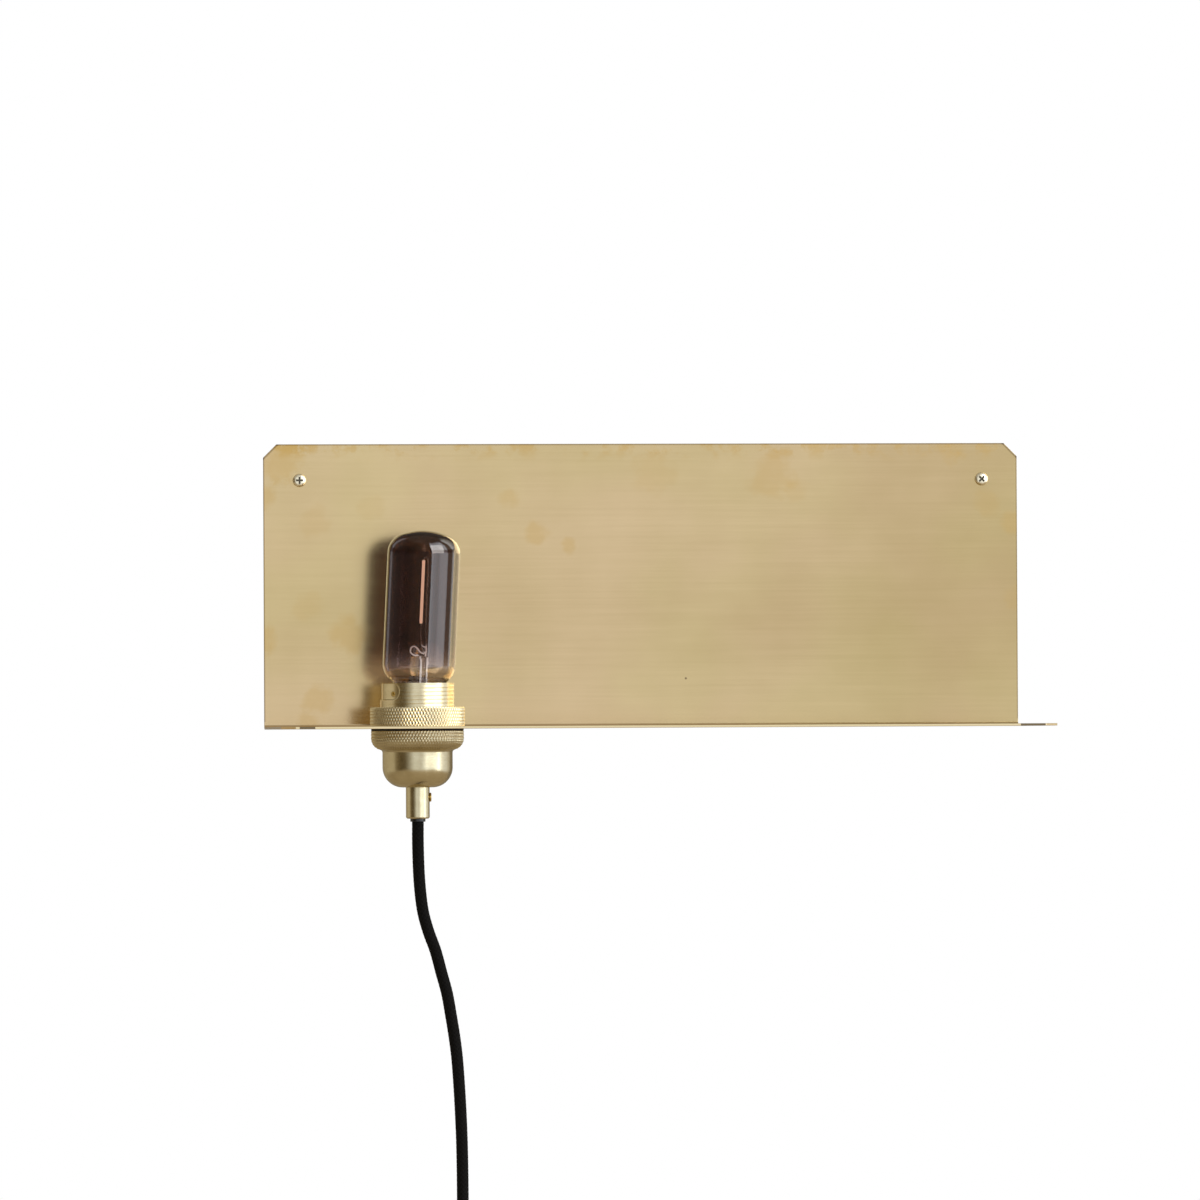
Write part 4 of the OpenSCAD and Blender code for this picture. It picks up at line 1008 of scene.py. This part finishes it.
def make_world():
    """White behind the object. Metal mirrors one room and the polished glass a sharper one."""
    world = bpy.data.worlds.new("room")
    bpy.context.scene.world = world
    world.use_nodes = True
    shader = world.node_tree.nodes["Background"]
    start = Val(world.node_tree)
    x, y, z = start.node("ShaderNodeTexCoord", output="Generated").parts()
    around = x.math("ARCTAN2", y * -1) / (2 * math.pi) + 0.5
    walls, mirror = (
        around.ramp([(angle / 360 + 0.5, (*colour, 1)) for angle, colour in room])
        for room in (ROOM, GLASS_ROOM))
    height = (z * 0.5 + 0.5).ramp(
        [(level / 2 + 0.5, (share, share, share, 1)) for level, share in GLASS_HEIGHTS])
    walls = z.smooth(0.2, 0.6).blend(walls, METAL_CEILING)
    mirror = z.smooth(0.8, 0.9).blend(mirror.times(height), GLASS_CEILING)
    mirrored = start.ray("Glossy Depth") > 0.5
    transmitted = start.ray("Is Transmission Ray")
    # A metal also sees through the glass it mirrors, into the metals' room.
    sharp = start.ray("Is Singular Ray") * (1 - transmitted * mirrored)
    room = sharp.blend(walls, mirror)
    white = (start.ray("Is Camera Ray") + transmitted * (1 - mirrored)).math("MINIMUM", 1.0)
    white.blend(room, (1, 1, 1, 1)).feed(shader, "Color")
    towards_floor = z.smooth(-0.9, -0.25) * 0.6 + 0.4
    (white + (1 - white) * towards_floor).feed(shader, "Strength")


def area(name, at, aim, size, power, colour):
    """A square lamp that shines from one place towards another."""
    data = bpy.data.lights.new(name, "AREA")
    data.shape, data.size, data.energy, data.color = "SQUARE", size, power, colour
    lamp = bpy.data.objects.new(name, data)
    lamp.location = at
    lamp.rotation_euler = (Vector(aim) - Vector(at)).to_track_quat("-Z", "Y").to_euler()
    bpy.context.collection.objects.link(lamp)


def make_floor():
    """A pale floor under the object, which reflections show in a warm tone."""
    material, shader, start = new_material("floor_white", Roughness=0.9)
    pale = start.noise(0.01, 2).blend((0.80, 0.80, 0.80, 1), (0.84, 0.84, 0.84, 1))
    start.ray("Is Glossy Ray").blend(pale, FLOOR_SEEN).feed(shader, "Base Color")
    side, back, level = 1.6, 0.9, -0.62
    corners = [(-side, -side, level), (side, -side, level), (side, back, level), (-side, back, level)]
    floor = make_piece("floor", corners, [(0, 1, 2, 3)], material, smooth=False)


def main():
    """The camera and the leads come first, then light and floor, then each piece and its finish."""
    place_camera()
    cord = cord_fabric()
    leads = make_cords(cord)
    make_world()
    area("key", (2.2, -2.6, 1.4), (0, 0, -0.2), 2.8, 60, (1.0, 0.97, 0.92))
    make_floor()

    sheet = sheet_brass()
    turned = turned_brass("turned_brass", rgb(212, 199, 163), rgb(228, 217, 184), 0.24)
    # A darker copy of the turned brass, painted shade for the cap and the cord grip under the shelf.
    shaded_cap_brass = turned_brass("cap_brass_with_painted_shade", rgb(200, 188, 153), rgb(217, 207, 175), 0.25)
    screws = screw_brass()
    yellow = plain("plain_brass", rgb(206, 176, 104), 0.28, 1.0)
    steel = plain("small_steel", rgb(196, 192, 184), 0.3, 1.0)
    nickel = plain("nickel", rgb(214, 211, 204), 0.16, 1.0)
    copper = plain("copper_wire", rgb(206, 140, 100), 0.3, 1.0)
    black = plain("black_plastic", rgb(27, 26, 26), 0.38, relief=0.25)
    rubber = plain("soft_black", rgb(30, 29, 28), 0.62, relief=0.3)
    washer = plain("black_washer", rgb(20, 19, 18), 0.8, relief=0.3)
    ceramic = plain("white_ceramic", rgb(238, 234, 224), 0.14, shade=0.03)
    phosphor = plain(
        "filament_phosphor", rgb(236, 158, 96), 0.6, shade=0.08, size=2.0, relief=0.4,
        Emission_Color=(1.0, 0.76, 0.56, 1), Emission_Strength=2.3)
    board = two_tone("driver_board", 1, rgb(38, 38, 42), (BOARD_FACE, rgb(58, 104, 74)))
    bead = plain("black_glass", rgb(24, 24, 28), 0.1)
    nylon = plain("black_nylon", rgb(24, 24, 27), 0.16, shade=0.05)
    tie = plain("tie_fabric", rgb(44, 43, 42), 0.85, size=1.2, relief=0.6, depth=0.0002)
    brown, blue, green = rgb(104, 68, 38), rgb(46, 92, 158), rgb(112, 156, 56)
    in_switch = two_tone("core_colours", 0, blue, *zip(CORE_GAPS, (brown, green)))
    smoked, clear = smoked_glass(), clear_glass()

    from_node("shelf_plate", "plate_and_shelf", sheet, 0.00016)
    clamp_ring(turned)
    holder_cap(shaded_cap_brass)
    skirt(turned)
    bulb_cap(nickel)
    screw_shell(yellow)
    bulb_parts(smoked, clear, phosphor, lead_in_steel())
    wall_screw("screw_left", -SCREW_X, 0, screws)
    wall_screw("screw_right", SCREW_X, 45, screws)
    from_node("cord_grip", "grip_sleeve", shaded_cap_brass, 0.0002)
    from_node("skirt_lock_screw", "pad_screw", yellow, 0.00012)
    from_node("grip_lock_screw", "grip_screw", yellow, 0.00015)
    from_node("grip_insert", "insert_ring", nylon, 0.00025)
    from_node("switch_base", "switch_lower", black, 0.0006)
    from_node("switch_cover", "switch_upper", black, 0.0005)
    from_node("switch_rocker", "switch_lever", black, 0.0004, "rocker")
    from_node("plug_body", "plug_shell", black, 0.0005)
    from_node("plug_relief", "plug_tail", rubber, 0.0003)
    from_node("coil_tie", "tie_band", tie, 0.0005)

    declare_cords(*leads)

    finishes = {
        "shelf_washer": washer, "ceramic_core": ceramic, "ceramic_liner": ceramic,
        "shell_screws": steel, "centre_contact": copper, "contact_rivet": yellow,
        "live_terminal": yellow, "neutral_terminal": yellow, "terminal_screws": steel,
        "hollow_nipple": yellow, "nipple_nut": yellow, "earth_tag": steel, "cord_end": cord,
        "live_wire": plain("brown_core", brown, 0.4), "neutral_wire": plain("blue_core", blue, 0.4),
        "earth_wire": plain("green_core", green, 0.4), "bulb_insulator": bead, "bulb_tip": nickel,
        "bulb_driver": board, "rocker_pin": steel, "switch_contacts": yellow, "switch_screws": steel,
        "switch_cores": in_switch, "plug_pins": nickel, "plug_earth_clips": nickel,
    }
    for node, material in finishes.items():
        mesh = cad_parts[node].data
        mesh.materials.clear()
        mesh.materials.append(material)

    view = bpy.context.scene.view_settings
    view.view_transform, view.look = "Standard", "None"


main()
